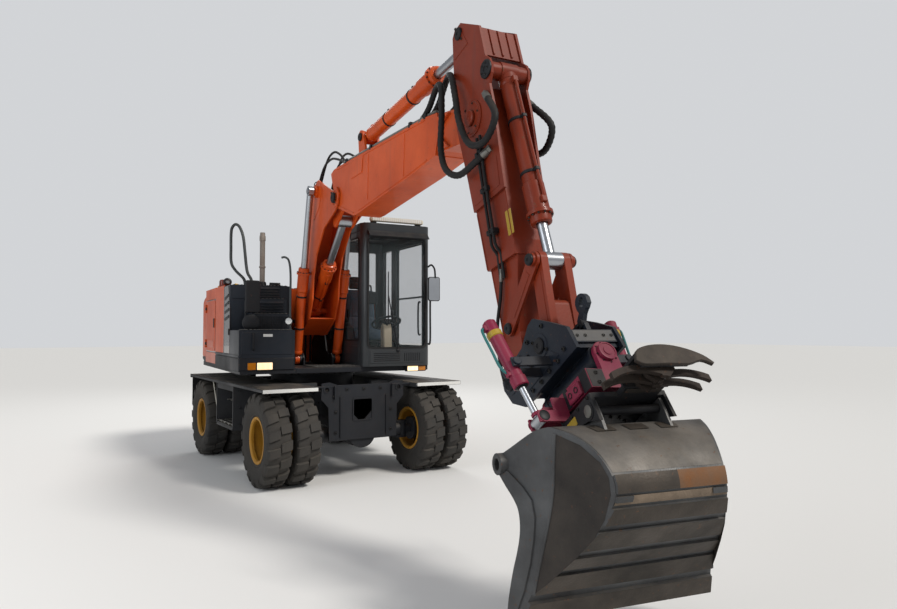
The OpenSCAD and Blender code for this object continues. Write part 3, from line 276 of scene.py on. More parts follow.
LOOK = {
    "charcoal": "chassis_frame front_axle rear_axle drive_shaft knuckle_left knuckle_right "
                "upper_deck rails_mirrors",
    "fender": "fender_left fender_right steps_left steps_right",
    "ring": "slew_ring",
    "tyre": "tyres_front_left tyres_front_right tyres_rear_left tyres_rear_right",
    "rim": "rims_front_left rims_front_right rims_rear_left rims_rear_right",
    "hood": "counterweight engine_housing hood_lid side_door_left",
    "brown_gloss": "side_door_right",
    "engine": "engine_block",
    "navy": "front_box",
    "cab": "cab_shell cab_door",
    "glass": "cab_glass",
    "seat": "cab_inside",
    "orange": "lower_boom upper_boom lift_barrels adjust_barrel arm_cylinder_barrel",
    # The arm, its links and the bucket cylinder's barrel: red-brown paint darkened by painted shade
    "arm": "arm side_links bucket_link bucket_cylinder_barrel",
    "chrome": "lift_rods adjust_rod arm_cylinder_rod bucket_cylinder_rod tilt_rod_right tilt_rod_left",
    "coupler": "coupler",
    "magenta": "rotor_housing tilt_barrel_right tilt_barrel_left",
    "black": "rotor_frame",
    "tine": "jaw_left jaw_right",
    "bucket": "bucket",
}
for key, names in LOOK.items():
    for name in names.split():
        o = NODE[name]
        o.data.materials.clear()
        o.data.materials.append(M[key])

# Frames of the machine, metres, as in the part's source
MM = 0.001


def turn_y(deg):
    return Matrix.Rotation(math.radians(deg), 4, "Y")


def turn_z(deg):
    return Matrix.Rotation(math.radians(deg), 4, "Z")


def shift(x, y, z):
    return Matrix.Translation((x, y, z))


def polar(r, deg):
    return Vector((r * math.cos(math.radians(deg)), r * math.sin(math.radians(deg))))


ROW = Matrix.Identity(4)
SLEW_DEG = -5.0
BOOM_Y = -0.08
A1, BOOM1_L = 41.69, 2.263
A2, BOOM2_L = 0.8, 3.22
A3, ARM_L = -74.46, 2.034
COUPLER_DEG, COUPLER_PITCH = 37.0, 0.43
TILT_DEG, TILT_Z = -4.0, -0.267
ROTOR_X, ROTOR_DEG = 0.4, -5.0
BUCKET_DEG = 36.8
UP = turn_z(SLEW_DEG)
BOOM = UP @ shift(0.0, BOOM_Y, 0.0)
FOOT = Vector((0.05, 1.8))
MID = FOOT + polar(BOOM1_L, A1)
ARM_PIN = MID + polar(BOOM2_L, A2)
TIP = ARM_PIN + polar(ARM_L, A3)
LINK_PIN = TIP + polar(COUPLER_PITCH, COUPLER_DEG)


def b1(s, t):
    return FOOT + polar(s, A1) + polar(t, A1 + 90.0)


def b2(s, t):
    return MID + polar(s, A2) + polar(t, A2 + 90.0)


def ar(s, t):
    return ARM_PIN + polar(s, A3) + polar(t, A3 + 90.0)


KNEE = ar(1.655, 0.017) + Vector((0.29, 0.45))
LIFT_FOOT = Vector((0.47, 1.38))
LIFT_TOP = b1(1.875, 0.605)
ADJ_FOOT = b1(0.355, -0.02)
ADJ_TOP = b2(-0.205, -0.23)
ARMCYL_FOOT = b2(0.62, 0.565)
ARMCYL_TOP = ar(-0.76, -0.005)
BUCKCYL_FOOT = ar(-0.24, 0.285)
COUPLER = BOOM @ shift(TIP.x, 0.0, TIP.y) @ turn_y(-COUPLER_DEG)
TILT = COUPLER @ shift(0.0, 0.0, TILT_Z) @ Matrix.Rotation(math.radians(TILT_DEG), 4, "X")
ROTOR = TILT @ shift(ROTOR_X, 0.0, 0.0) @ turn_z(ROTOR_DEG)
BUCKET = ROTOR @ shift(0.35, 0.0, -0.441) @ turn_y(BUCKET_DEG)
AXLE_Z = 0.5275
TRACK = 0.966
TWIN = 0.165
AXLES = {"front": 1.49, "rear": -1.06}
CAB_X0, CAB_X1 = -0.44, 1.26
CAB_Y0, CAB_Y1 = 0.27, 1.225


def along(p, q, y=0.0):
    """Frame in the boom's plane whose X runs from p to q."""
    d = q - p
    return BOOM @ shift(p.x, y, p.y) @ turn_y(-math.degrees(math.atan2(d.y, d.x)))


class Shape:
    """Collects faces in a frame and becomes one piece."""

    def __init__(self, at=ROW):
        self.verts = []
        self.faces = []
        self.mats = []
        self.keys = []
        self.at = at

    def raw(self, verts, faces, mat, at=None):
        m = self.at if at is None else at
        n = len(self.verts)
        if mat not in self.keys:
            self.keys.append(mat)
        k = self.keys.index(mat)
        self.verts += [m @ Vector(v) for v in verts]
        self.faces += [tuple(n + i for i in f) for f in faces]
        self.mats += [k] * len(faces)

    def box(self, p, q, mat, bevel=0.003, at=None):
        """Box with chamfered edges between opposite corners p and q."""
        lo, hi = zip(*(sorted(pair) for pair in zip(p, q)))
        b = min(bevel, 0.3 * min(h - l for l, h in zip(lo, hi)))
        bm = bmesh.new()
        bmesh.ops.create_cube(bm, size=1.0)
        for v in bm.verts:
            v.co = Vector([(l + h) / 2 + c * (h - l) for c, l, h in zip(v.co, lo, hi)])
        if b > 0.0004:
            bmesh.ops.bevel(bm, geom=bm.edges[:], offset=b, segments=1, affect="EDGES", profile=0.5)
        bm.verts.index_update()
        self.raw([v.co.copy() for v in bm.verts], [[v.index for v in f.verts] for f in bm.faces], mat, at)
        bm.free()

    def plate(self, outline, y0, y1, mat, at=None, bevel=0.0):
        """Plate in the XZ plane from its outline, from y0 to y1, with its rims drawn in by bevel."""
        y0, y1 = sorted((y0, y1))
        pts = [Vector(p) for p in outline]
        area = sum(p.x * q.y - q.x * p.y for p, q in zip(pts, pts[1:] + pts[:1]))
        if area < 0:
            pts.reverse()
        n = len(pts)
        inner = inset(pts, bevel) if bevel else pts
        rows = [(inner, y0), (pts, y0 + bevel), (pts, y1 - bevel),
                (inner, y1)] if bevel else [(pts, y0), (pts, y1)]
        verts = [(p.x, y, p.y) for line, y in rows for p in line]
        faces = [list(range(n)), list(range(len(verts) - 1, len(verts) - n - 1, -1))]
        for r in range(len(rows) - 1):
            for i in range(n):
                j = (i + 1) % n
                faces.append((r * n + i, (r + 1) * n + i, (r + 1) * n + j, r * n + j))
        self.raw(verts, faces, mat, at)

    def lathe(self, profile, mat, at=None, seg=24, ring=None):
        """Turned form round the frame's Z axis from (radius, height) points, a ring if off the axis."""
        if ring is None:
            ring = min(profile[0][0], profile[-1][0]) > 1e-6
        verts = []
        for r, h in profile:
            verts += [(r * math.cos(2 * math.pi * k / seg), r * math.sin(2 * math.pi * k / seg), h)
                      for k in range(seg)]
        faces = []
        rows = len(profile)
        for i in range(rows if ring else rows - 1):
            j = (i + 1) % rows
            for k in range(seg):
                k2 = (k + 1) % seg
                faces.append((i * seg + k, i * seg + k2, j * seg + k2, j * seg + k))
        if not ring:
            if profile[0][0] > 1e-6:
                faces.append(tuple(range(seg - 1, -1, -1)))
            if profile[-1][0] > 1e-6:
                faces.append(tuple((rows - 1) * seg + k for k in range(seg)))
        self.raw(verts, faces, mat, at)

    def tube(self, points, r, mat, seg=10, at=None, ribs=0.0):
        """Round bar, pipe or hose along points. Ribs is how far a hose's guard spiral stands out."""
        pts = [Vector(p) for p in points]
        verts = []
        up = None
        for i, p in enumerate(pts):
            d = (pts[min(i + 1, len(pts) - 1)] - pts[max(i - 1, 0)]).normalized()
            if up is None:
                up = d.orthogonal().normalized()
            up = (up - d * up.dot(d)).normalized()
            side = d.cross(up)
            rr = r + (ribs if i % 2 and 0 < i < len(pts) - 1 else 0.0)
            verts += [p + rr * (math.cos(2 * math.pi * k / seg) * up + math.sin(2 * math.pi * k / seg) * side)
                      for k in range(seg)]
        faces = [(i * seg + k, i * seg + (k + 1) % seg, (i + 1) * seg + (k + 1) % seg, (i + 1) * seg + k)
                 for i in range(len(pts) - 1) for k in range(seg)]
        faces += [tuple(range(seg - 1, -1, -1)), tuple((len(pts) - 1) * seg + k for k in range(seg))]
        self.raw(verts, faces, mat, at)

    def bolt(self, p, d, r, h, mat, at=None, seg=6):
        """Hexagon head with its washer, standing on p towards d."""
        turn = Vector(d).to_track_quat("Z", "Y").to_matrix().to_4x4()
        m = (self.at if at is None else at) @ shift(*p) @ turn
        self.lathe([(r * 1.35, 0.0), (r * 1.35, h * 0.25)], mat, m, 12)
        self.lathe([(r, h * 0.2), (r, h * 0.85), (r * 0.8, h)], mat, m, seg)

    def make(self, name, body, smooth=0.6, replaces=(), slot=None):
        mesh = bpy.data.meshes.new(name)
        mesh.from_pydata([tuple(v) for v in self.verts], [], self.faces)
        for key in self.keys:
            mesh.materials.append(M[key])
        mesh.polygons.foreach_set("material_index", self.mats)
        bm = bmesh.new()
        bm.from_mesh(mesh)
        bmesh.ops.recalc_face_normals(bm, faces=bm.faces[:])
        bm.to_mesh(mesh)
        bm.free()
        mesh.shade_smooth()
        mesh.set_sharp_from_angle(angle=smooth)
        o = bpy.data.objects.new(name, mesh)
        COLL.objects.link(o)
        if body:
            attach(o, body)
        if replaces:
            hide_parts(*replaces)
        return o


def inset(pts, t):
    """Outline (counter-clockwise) moved inwards by t."""
    n = len(pts)
    out = []
    for i, p in enumerate(pts):
        a = (p - pts[i - 1]).normalized()
        b = (pts[(i + 1) % n] - p).normalized()
        m = Vector((-a.y - b.y, a.x + b.x))
        out.append(p + m * (t / max(0.4, m.length_squared / 2)))
    return out


def rounded(x0, z0, x1, z1, r, n=5):
    """Rectangle with round corners, counter-clockwise."""
    pts = []
    for cx, cz, a0 in ((x1 - r, z0 + r, -90), (x1 - r, z1 - r, 0), (x0 + r, z1 - r, 90),
                       (x0 + r, z0 + r, 180)):
        pts += [Vector((cx, cz)) + polar(r, a0 + 90.0 * k / n) for k in range(n + 1)]
    return pts


def bent(points, n=6):
    """Smooth line through the points."""
    p = [Vector(q) for q in points]
    out = []
    for i in range(len(p) - 1):
        a, b, c, d = p[max(i - 1, 0)], p[i], p[i + 1], p[min(i + 2, len(p) - 1)]
        for k in range(n):
            t = k / n
            out.append(0.5 * (2 * b + (c - a) * t + (2 * a - 5 * b + 4 * c - d) * t * t
                              + (3 * b - a - 3 * c + d) * t * t * t))
    return out + [p[-1]]


def in_boom(p, y):
    return (p.x, y, p.y)


def spots(place, rows, s=1.0):
    """Points of the boom's frame from rows of a place's two measures and a y, on the side s."""
    return [in_boom(place(u, v), s * y) for u, v, y in rows]


def beads(shape, ends, y, r, mat):
    """Weld beads at y between pairs of points of the boom's plane."""
    for p, q in ends:
        shape.tube([in_boom(p, y), in_boom(q, y)], r, mat, 6)


def frame_ring(shape, outline, width, y0, y1, mat, at):
    """Flat ring in the XZ plane along an outline, such as a window's seal."""
    inner = inset(outline, width)
    n = len(outline)
    verts = [(p.x, y, p.y) for y in (y0, y1) for line in (outline, inner) for p in line]
    faces = []
    for i in range(n):
        j = (i + 1) % n
        faces += [(i, j, n + j, n + i), (2 * n + i, 3 * n + i, 3 * n + j, 2 * n + j),
                  (i, 2 * n + i, 2 * n + j, j), (n + i, n + j, 3 * n + j, 3 * n + i)]
    shape.raw(verts, faces, mat, at)


def lamp(shape, at, r, housing, lens, depth=0.05):
    """Round lamp that shines along the frame's Z axis."""
    shape.lathe([(r * 0.55, -depth), (r, -depth * 0.4), (r * 1.08, 0.0), (r * 1.08, 0.012),
                 (r * 0.98, 0.012)], housing, at, 20)
    shape.lathe([(r, 0.004), (r * 0.8, 0.013), (0.0, 0.018)], lens, at, 20)


def studs(shape, xs, ys, z, r):
    """Small studs of a tread at the places xs by ys of the superstructure."""
    for x in xs:
        for y in ys:
            shape.lathe([(r, 0.0), (r - 0.002, 0.006), (0.0, 0.006)], "steel", UP @ shift(x, y, z), 8)


def facing(p, d, at=ROW):
    """Frame at p whose Z axis points along d."""
    return at @ shift(*p) @ Vector(d).to_track_quat("Z", "Y").to_matrix().to_4x4()


def bolt_circle(shape, n, radius, z, r, h, at, start=0.0, up=1):
    """Bolts at equal steps round the frame's Z axis, standing at height z."""
    for k in range(n):
        q = polar(radius, start + 360.0 * k / n)
        shape.bolt((q.x, q.y, z), (0, 0, up), r, h, "bolt", at)


# Wheels
WHEEL_NUTS = 10
LUGS = 17
LUG_HALF = (0.082, 0.088, 0.094, 0.098, 0.092, 0.084, 0.07)
TYRE_LINE = ((0.265, -0.105), (0.283, -0.118), (0.30, -0.114), (0.345, -0.133), (0.41, -0.139),
             (0.425, -0.136), (0.455, -0.133), (0.48, -0.123), (0.493, -0.1), (0.497, -0.05), (0.498, 0.0))
LUG_LINE = ((0.006, 0.5272), (0.05, 0.5275), (0.1, 0.5262), (0.123, 0.518), (0.1375, 0.492), (0.1385, 0.464),
            (0.136, 0.446))


def lugs(shape, at):
    """Two offset rows of chunky lugs that run over the tyre's shoulders."""
    for row in (-1, 1):
        for k in range(LUGS):
            mid = 2 * math.pi * (k + (0.5 if row > 0 else 0.0)) / LUGS
            verts = []
            for i, (h, r) in enumerate(LUG_LINE):
                lean = 0.055 - 0.45 * h
                half = LUG_HALF[i]
                low = r - (0.042 if i < 5 else 0.022)
                for a, rr in ((-half - 0.012, low), (-half, r), (half, r), (half + 0.012, low)):
                    c = mid + lean * row + a
                    verts.append((rr * math.cos(c), rr * math.sin(c), h * row))
            n = len(LUG_LINE)
            faces = [(0, 1, 2, 3), (4 * n - 4, 4 * n - 1, 4 * n - 2, 4 * n - 3)]
            faces += [(4 * i + j, 4 * i + 4 + j, 4 * i + 5 + j,
                       4 * i + 1 + j) for i in range(n - 1) for j in range(3)]
            shape.raw(verts, faces, "tyre", at)


for end in ("front", "rear"):
    for side, s in (("left", 1.0), ("right", -1.0)):
        body = f"wheel_{end}_{side}"
        tyre = Shape()
        rim = Shape()
        for twin in (-TWIN, TWIN):
            hub = facing((AXLES[end], s * TRACK + twin, AXLE_Z), (0.0, s, 0.0))
            line = TYRE_LINE + tuple((r, -h) for r, h in reversed(TYRE_LINE[:-1]))
            tyre.lathe(line, "tyre", hub, 68)
            lugs(tyre, hub)
            for h in (-0.099, 0.099):
                k = 1.0 if h > 0 else -1.0
                rim.lathe([(0.2275, h - 0.03 * k), (0.2275, h), (0.24, h + 0.012 * k), (0.262, h + 0.014 * k),
                           (0.266, h + 0.006 * k), (0.264, h - 0.02 * k)], "rim", hub, 48)
        outer = facing((AXLES[end], s * (TRACK + 0.01), AXLE_Z), (0.0, s, 0.0))
        # Disc, hub ring and hub cap, in the painted shade of the rim's deep well
        rim.lathe([(0.152, 0.02), (0.215, 0.05), (0.2285, 0.1), (0.2285, 0.12), (0.222, 0.12), (0.21, 0.062),
                   (0.152, 0.031)], "rim_painted_shade", outer, 48)
        rim.lathe([(0.118, 0.031), (0.118, 0.05), (0.108, 0.058)], "rim_painted_shade", outer, 40)
        rim.lathe([(0.104, 0.11), (0.104, 0.122), (0.094, 0.128), (0.05, 0.129), (0.046, 0.137),
                   (0.0, 0.138)], "rim_painted_shade", outer, 40)
        bolt_circle(rim, WHEEL_NUTS, 0.135, 0.03, 0.0135, 0.03, outer)
        bolt_circle(rim, WHEEL_NUTS, 0.082, 0.125, 0.007, 0.01, outer)
        rim.tube([(0.19, 0.05, 0.06), (0.2, 0.055, 0.1), (0.205, 0.058, 0.15)], 0.005, "bolt", 8, outer)
        tyre.make(f"lugged_tyres_{end}_{side}", body, 0.5, replaces=(f"tyres_{end}_{side}",),
                  slot="tyre_rubber")
        rim.make(f"rim_detail_{end}_{side}", body, 0.6, slot="rim_yellow")

# Undercarriage
fenders = Shape()
under = Shape()
for s in (-1.0, 1.0):
    fenders.box((1.8105, s * 0.645, 1.072), (1.818, s * 1.277, 1.112), "white", 0.002)
    fenders.box((-1.627, s * 0.645, 1.062), (-1.6205, s * 1.277, 1.112), "fender", 0.002)
    fenders.box((-1.618, s * 1.268, 1.078), (1.809, s * 1.28, 1.1155), "fender", 0.002)
    for x0, x1 in ((-1.6, -0.3), (0.55, 1.8)):
        fenders.box((x0, s * 0.636, 1.06), (x1, s * 0.644, 1.113), "fender", 0.002)
    # Brackets that carry the fender and ribs across it
    for x in (-1.45, -0.62, 0.93, 1.6):
        fenders.box((x, s * 0.38, 1.088), (x + 0.05, s * 1.22, 1.108), "charcoal")
        fenders.box((x - 0.03, s * 0.369, 0.95), (x + 0.08, s * 0.385, 1.108), "charcoal")
        for dx in (0.0, 0.05):
            fenders.bolt((x + dx, s * 0.385, 0.985), (0, s, 0), 0.011, 0.012, "bolt")
    for x in (-1.3, -0.8, 1.12, 1.35):
        fenders.box((x, s * 0.72, 1.1145), (x + 0.045, s * 1.2, 1.1185), "fender", 0.0015)
    # Mud flap behind the rear wheel
    flap = [(-1.622, 1.1), (-1.613, 1.1), (-1.607, 0.86), (-1.616, 0.66), (-1.624, 0.66), (-1.616, 0.86)]
    fenders.plate(flap, s * 0.7, s * 1.25, "rubber")
    for y in (0.76, 0.9, 1.05, 1.19):
        fenders.bolt((-1.6225, s * y, 1.085), (-1, 0, 0), 0.009, 0.009, "bolt")
    # Tread trays in the step box
    for z, y0, y1 in ((0.565, 0.73, 1.2295), (0.83, 0.8, 1.1)):
        lo, hi = sorted((s * y0, s * y1))
        for k in range(7):
            y = lo + 0.02 + (hi - lo - 0.05) * k / 6
            under.box((-0.245, y, z), (0.495, y + 0.012, z + 0.022), "steel", 0.002)
        for x in (-0.245, -0.06, 0.125, 0.31, 0.483):
            under.box((x, lo, z + 0.002), (x + 0.012, hi, z + 0.018), "steel", 0.002)
    for x0, x1, z0, z1 in ((-0.27, 0.52, 0.52, 0.545), (-0.27, -0.245, 0.52, 1.1), (0.495, 0.52, 0.52, 1.1),
                           (-0.27, 0.52, 1.075, 1.105)):
        under.box((x0, s * 1.2285, z0), (x1, s * 1.2365, z1), "fender", 0.002)
    for x in (-0.28, 0.52):
        for z in (0.6, 0.8, 1.0):
            under.bolt((x if x > 0 else x + 0.01, s * 1.15, z), (1 if x > 0 else -1, 0, 0), 0.009, 0.01,
                       "bolt")
    # Pale strap that braces the tray to the fender
    strap = [(-0.62, 1.1), (-0.585, 1.1), (-0.275, 0.64), (-0.275, 0.585)]
    under.plate(strap, s * 1.2, s * 1.208, "pale")
    # Side of the frame: cover plates, valve block and brake lines
    for x0, x1 in ((-1.3, -0.9), (0.62, 0.95), (1.15, 1.5)):
        under.plate(rounded(x0, 0.7, x1, 0.9, 0.03), s * 0.3695, s * 0.378, "charcoal", bevel=0.002)
        for x in (x0 + 0.03, x1 - 0.03):
            for z in (0.73, 0.87):
                under.bolt((x, s * 0.378, z), (0, s, 0), 0.009, 0.009, "bolt")
    line = bent([(-0.9, s * 0.395, 0.66), (-0.5, s * 0.4, 0.66), (0.3, s * 0.4, 0.65), (0.9, s * 0.4, 0.66)])
    for dz in (0.0, 0.03):
        under.tube([(p.x, p.y, p.z + dz) for p in line], 0.007, "rubber", 8)
    for x in (-0.7, 0.75):
        under.box((x, s * 0.3695, 0.645), (x + 0.03, s * 0.415, 0.71), "steel")
# Front plate: rims of its openings, tie-down bolts and stiffeners
ring = rounded(-0.145, 0.685, 0.12, 0.955, 0.03)
face = shift(1.645, 0.0, 0.0) @ turn_z(90.0)
frame_ring(under, ring, 0.014, -0.009, 0.001, "charcoal", face)
for y in (-0.47, 0.47):
    hole = facing((1.6455, y, 1.065), (1, 0, 0))
    under.lathe([(0.028, -0.001), (0.028, 0.007), (0.042, 0.007), (0.046, 0.0)], "charcoal", hole, 28)
for y, z in ((-0.36, 0.56), (0.36, 0.56), (-0.36, 0.8), (0.36, 0.8), (-0.22, 1.06), (0.22, 1.06),
             (0.0, 1.06)):
    under.bolt((1.645, y, z), (1, 0, 0), 0.015, 0.016, "bolt")
for y in (-0.3, 0.3):
    under.box((1.6455, y - 0.008, 0.5), (1.66, y + 0.008, 0.98), "charcoal")
# Bolted flange under the slewing ring
under.lathe([(0.561, 1.158), (0.585, 1.158), (0.585, 1.178), (0.561, 1.178)], "charcoal", ROW, 72)
bolt_circle(under, 36, 0.573, 1.178, 0.008, 0.014, ROW)
# Axle housings: differential covers and yokes
for end, x in AXLES.items():
    for d in ((-1.0,) if end == "front" else (-1.0, 1.0)):
        cover = facing((x + d * 0.165, 0.0, AXLE_Z), (d, 0, 0))
        under.lathe([(0.15, -0.03), (0.15, 0.0), (0.13, 0.014), (0.07, 0.02), (0.0, 0.021)], "charcoal",
                    cover, 32)
        bolt_circle(under, 10, 0.138, 0.006, 0.008, 0.012, cover)
for s in (-1.0, 1.0):
    for x in (0.35, 1.1):
        yoke = facing((x, 0.0, AXLE_Z + 0.01), (s, 0, 0))
        under.lathe([(0.046, 0.0), (0.062, 0.006), (0.062, 0.028), (0.048, 0.034)], "steel", yoke, 28)
fenders.make("fender_trim", "chassis", slot="sheet_grey")
under.make("undercarriage_details", "chassis", slot="chassis_paint")


# Counterweight, turned at the tail with a rounded top edge
def tail_outline(r, half, x_cut):
    a0 = math.degrees(math.asin(half / r))
    arc = [polar(r, 180.0 - a0 + 2 * a0 * k / 36) for k in range(37)]
    return [Vector((x_cut, half))] + arc + [Vector((x_cut, -half))]


def tail_solid(shape, levels, mat):
    """Body of the counterweight from (inset, z) levels, bottom to top."""
    lines = [tail_outline(2.0495 - t, 1.2245 - t * 0.6, -1.3505) for t, z in levels]
    n = len(lines[0])
    verts = [(p.x, p.y, z) for line, (t, z) in zip(lines, levels) for p in line]
    faces = [tuple(range(n)), tuple(range((len(levels) - 1) * n, len(levels) * n))]
    faces += [(r * n + i, r * n + (i + 1) % n, (r + 1) * n + (i + 1) % n, (r + 1) * n + i)
              for r in range(len(levels) - 1) for i in range(n)]
    shape.raw(verts, faces, mat)


tail = Shape(UP)
tail_solid(tail, ((0.03, 1.3), (0.0, 1.34), (0.0, 1.37)), "charcoal")
top_edge = tuple((0.16 - 0.16 * math.cos(math.radians(a)), 2.155 + 0.155 * math.sin(math.radians(a)))
                 for a in range(0, 91, 15))
tail_solid(tail, ((0.012, 1.37), (0.0, 1.385)) + top_edge, "orange")
for y in (-0.62, 0.62):
    lamp(tail, facing((-1.955, y, 1.5), (-1, 0.3 * y, 0), UP), 0.05, "black",
         "amber" if y < 0 else "red_lamp")
    tail.box((-1.99, y - 0.11, 1.43), (-1.935, y + 0.11, 1.57), "black", 0.01)
tail.box((-2.043, -0.06, 1.46), (-2.0, 0.06, 1.58), "black", 0.008)
tail.lathe([(0.028, 0.0), (0.028, 0.02), (0.02, 0.024), (0.0, 0.024)], "lens",
           facing((-2.025, 0.0, 1.52), (-1, 0, 0), UP), 20)
for y in (-0.4, 0.4):
    eye = UP @ shift(-1.62, y, 2.31)
    tail.tube([(-0.08, 0, -0.03), (-0.07, 0, 0.03), (0.0, 0, 0.055), (0.07, 0, 0.03), (0.08, 0, -0.03)],
              0.016, "charcoal", 10, eye)
tail.make("tail_casting", "superstructure", 0.5, replaces=("counterweight",), slot="ballast_orange")

# Hood, side skins, deck edge
hood = Shape(UP)
hood.box((-1.34, -1.2295, 2.2), (-0.45, -1.2245, 2.345), "orange", 0.002)
hood.box((-1.34, 1.2245, 2.2), (-0.45, 1.2295, 2.345), "orange", 0.002)
for s in (-1.0, 1.0):
    hood.box((-1.345, s * 1.205, 2.325), (-0.452, s * 1.232, 2.353), "orange", 0.012)
    hood.box((-1.34, s * 1.19, 1.272), (-0.45, s * 1.232, 1.3), "charcoal", 0.004)
# Raised centre of the lid, intake grille and grab rail
lid = Shape(UP)
lid.box((-1.26, -0.66, 2.35), (-0.54, 0.66, 2.372), "orange", 0.014)
for k in range(9):
    lid.box((-1.2 + 0.07 * k, -0.6, 2.371), (-1.165 + 0.07 * k, -0.12, 2.382), "black", 0.004)
for y in (0.0, 0.62):
    lid.box((-1.0, y - 0.012, 2.37), (-0.98, y + 0.012, 2.395), "black", 0.004)
lid.tube(bent([(-0.99, 0.0, 2.38), (-0.99, 0.02, 2.4), (-0.99, 0.3, 2.41), (-0.99, 0.6, 2.4),
               (-0.99, 0.62, 2.38)]), 0.011, "black", 10)
lid.make("lid_skin", "hood_lid", slot="hood_orange")
# Skins of the side doors
right_door = Shape(UP)
y = -1.2255
right_door.plate(rounded(-1.27, 1.47, -0.53, 2.185, 0.05), y - 0.004, y + 0.004, "orange", bevel=0.002)
right_door.plate(rounded(-1.22, 1.52, -0.63, 1.62, 0.03), y - 0.007, y - 0.002, "hood", bevel=0.003)
right_door.box((-0.61, y - 0.016, 1.8), (-0.575, y - 0.002, 1.93), "black", 0.006)
right_door.make("right_door_skin", "side_door_right", slot="door_brown")
left_door = Shape(UP)
y = 1.2255
left_door.plate(rounded(-1.27, 1.47, -0.53, 2.185, 0.05), y - 0.004, y + 0.004, "orange", bevel=0.002)
for k in range(7):
    z = 1.6 + 0.08 * k
    left_door.box((-1.2, y + 0.002, z), (-0.62, y + 0.009, z + 0.035), "black", 0.003)
left_door.box((-0.61, y + 0.002, 1.8), (-0.575, y + 0.016, 1.93), "black", 0.006)
left_door.make("left_door_skin", "side_door_left", slot="hood_orange")
# Engine: valve cover, fan shroud, pipes
engine = Shape(UP)
engine.box((-1.1, -0.4, 1.951), (-0.7, 0.3, 2.03), "black", 0.02)
engine.lathe([(0.3, 0.0), (0.3, 0.03), (0.27, 0.045), (0.27, 0.05), (0.05, 0.05), (0.05, 0.07), (0.0, 0.07)],
             "black", facing((-0.9, 0.5, 1.62), (0, 1, 0), UP), 40)
engine.lathe([(0.09, 0.0), (0.09, 0.24), (0.08, 0.25), (0.0, 0.25)], "orange",
             facing((-0.75, -0.5, 1.7), (0, -1, 0), UP), 28)
engine.lathe([(0.055, 0.0), (0.055, 0.2), (0.0, 0.21)], "black", facing((-1.05, -0.5, 1.6), (0, -1, 0), UP),
             24)
engine.tube(bent([(-0.8, -0.3, 2.03), (-0.78, -0.35, 2.12), (-0.65, -0.4, 2.15), (-0.58, -0.42, 2.05),
                  (-0.57, -0.42, 1.7)]), 0.045, "rubber", 14)
for k in range(5):
    engine.box((-1.15 + 0.13 * k, -0.506, 1.36), (-1.1 + 0.13 * k, -0.5, 1.9), "engine", 0.002)
engine.make("engine_fittings", "superstructure", slot="engine_grey")

# Right side in front of the doors: orange panel, silver trim, dark louvred panel and tank
side = Shape(UP)
y = -1.2252
side.box((-0.452, y - 0.004, 1.47), (0.165, y + 0.002, 2.345), "orange", 0.003)
side.box((-0.452, -1.229, 2.3285), (0.165, -0.9, 2.334), "orange", 0.002)
side.plate([(0.168, 1.46), (0.182, 1.46), (0.192, 2.325), (0.178, 2.325)], y - 0.007, y + 0.002, "silver")
side.plate([(0.2, 1.47), (0.575, 1.47), (0.575, 2.05), (0.47, 2.322), (0.205, 2.322)], y - 0.005, y + 0.002,
           "brown_gloss", bevel=0.003)
for k in range(4):
    z = 1.88 + 0.088 * k
    w = 0.53 if z < 2.0 else 0.53 - 0.38 * (z - 2.0)
    side.plate([(0.25, z), (w, z + 0.035), (w, z + 0.075), (0.25, z + 0.04)], y - 0.01, y - 0.003, "black",
               bevel=0.003)
side.box((0.52, y - 0.014, 1.7), (0.55, y - 0.003, 1.78), "black", 0.004)
side.box((0.578, -1.2285, 1.47), (1.17, -1.2225, 1.752), "navy", 0.003)
side.box((-0.455, -1.234, 1.272), (1.185, -1.2, 1.43), "charcoal", 0.006)
side.box((-0.455, -1.2365, 1.432), (1.187, -1.2, 1.468), "navy", 0.01)
# Front of the tank: sill, blank label, handle and headlamp; tread on each step, louvres between them
x = 1.181
side.box((1.17, -1.232, 1.285), (1.196, -0.575, 1.43), "charcoal", 0.008)
side.box((x - 0.004, -1.2, 1.47), (x + 0.006, -0.6, 1.735), "navy", 0.004)
side.box((x, -0.95, 1.682), (x + 0.0085, -0.84, 1.714), "white", 0.001)
side.tube(bent([(1.186, -1.07, 1.715), (1.212, -1.07, 1.7), (1.215, -1.07, 1.62), (1.212, -1.07, 1.54),
                (1.186, -1.07, 1.525)]), 0.011, "black", 10)
side.box((1.19, -1.15, 1.285), (1.1985, -0.82, 1.385), "black", 0.006)
side.box((1.19, -1.02, 1.293), (1.203, -0.84, 1.376), "lamp_on", 0.012)
side.box((1.19, -1.13, 1.293), (1.2015, -1.035, 1.376), "amber", 0.01)
for x0, x1, y0, y1, z in ((0.79, 0.94, -0.985, -0.585, 1.96), (0.965, 1.17, -1.2, -0.585, 1.76),
                          (0.6, 0.77, -0.985, -0.585, 2.15), (0.2, 0.55, -1.19, -0.5, 2.33)):
    side.box((x0, y0, z), (x1, y1, z + 0.006), "black", 0.002)
    nx = max(2, int((x1 - x0) / 0.035))
    ny = int((y1 - y0) / 0.045)
    for i in range(nx):
        for j in range(ny):
            c = (x0 + (i + 0.5) * (x1 - x0) / nx, y0 + (j + 0.5) * (y1 - y0) / ny, z + 0.005)
            side.lathe([(0.011, 0.0), (0.009, 0.006), (0.006, 0.006), (0.005, 0.001), (0.0, 0.001)], "steel",
                       UP @ shift(*c), 8)
for x0, z0, z1 in ((0.9505, 1.775, 1.945), (0.7805, 1.975, 2.135)):
    side.box((x0, -0.985, z0), (x0 + 0.005, -0.585, z1), "navy", 0.003)
side.box((0.5605, -1.2, 2.16), (0.567, -0.46, 2.32), "navy", 0.003)
for i in range(14):
    side.box((0.954, -0.965 + 0.027 * i, 1.79), (0.962, -0.957 + 0.027 * i, 1.93), "black", 0.001)
for i in range(5):
    side.box((0.954, -0.97, 1.795 + 0.031 * i), (0.959, -0.6, 1.801 + 0.031 * i), "black", 0.001)
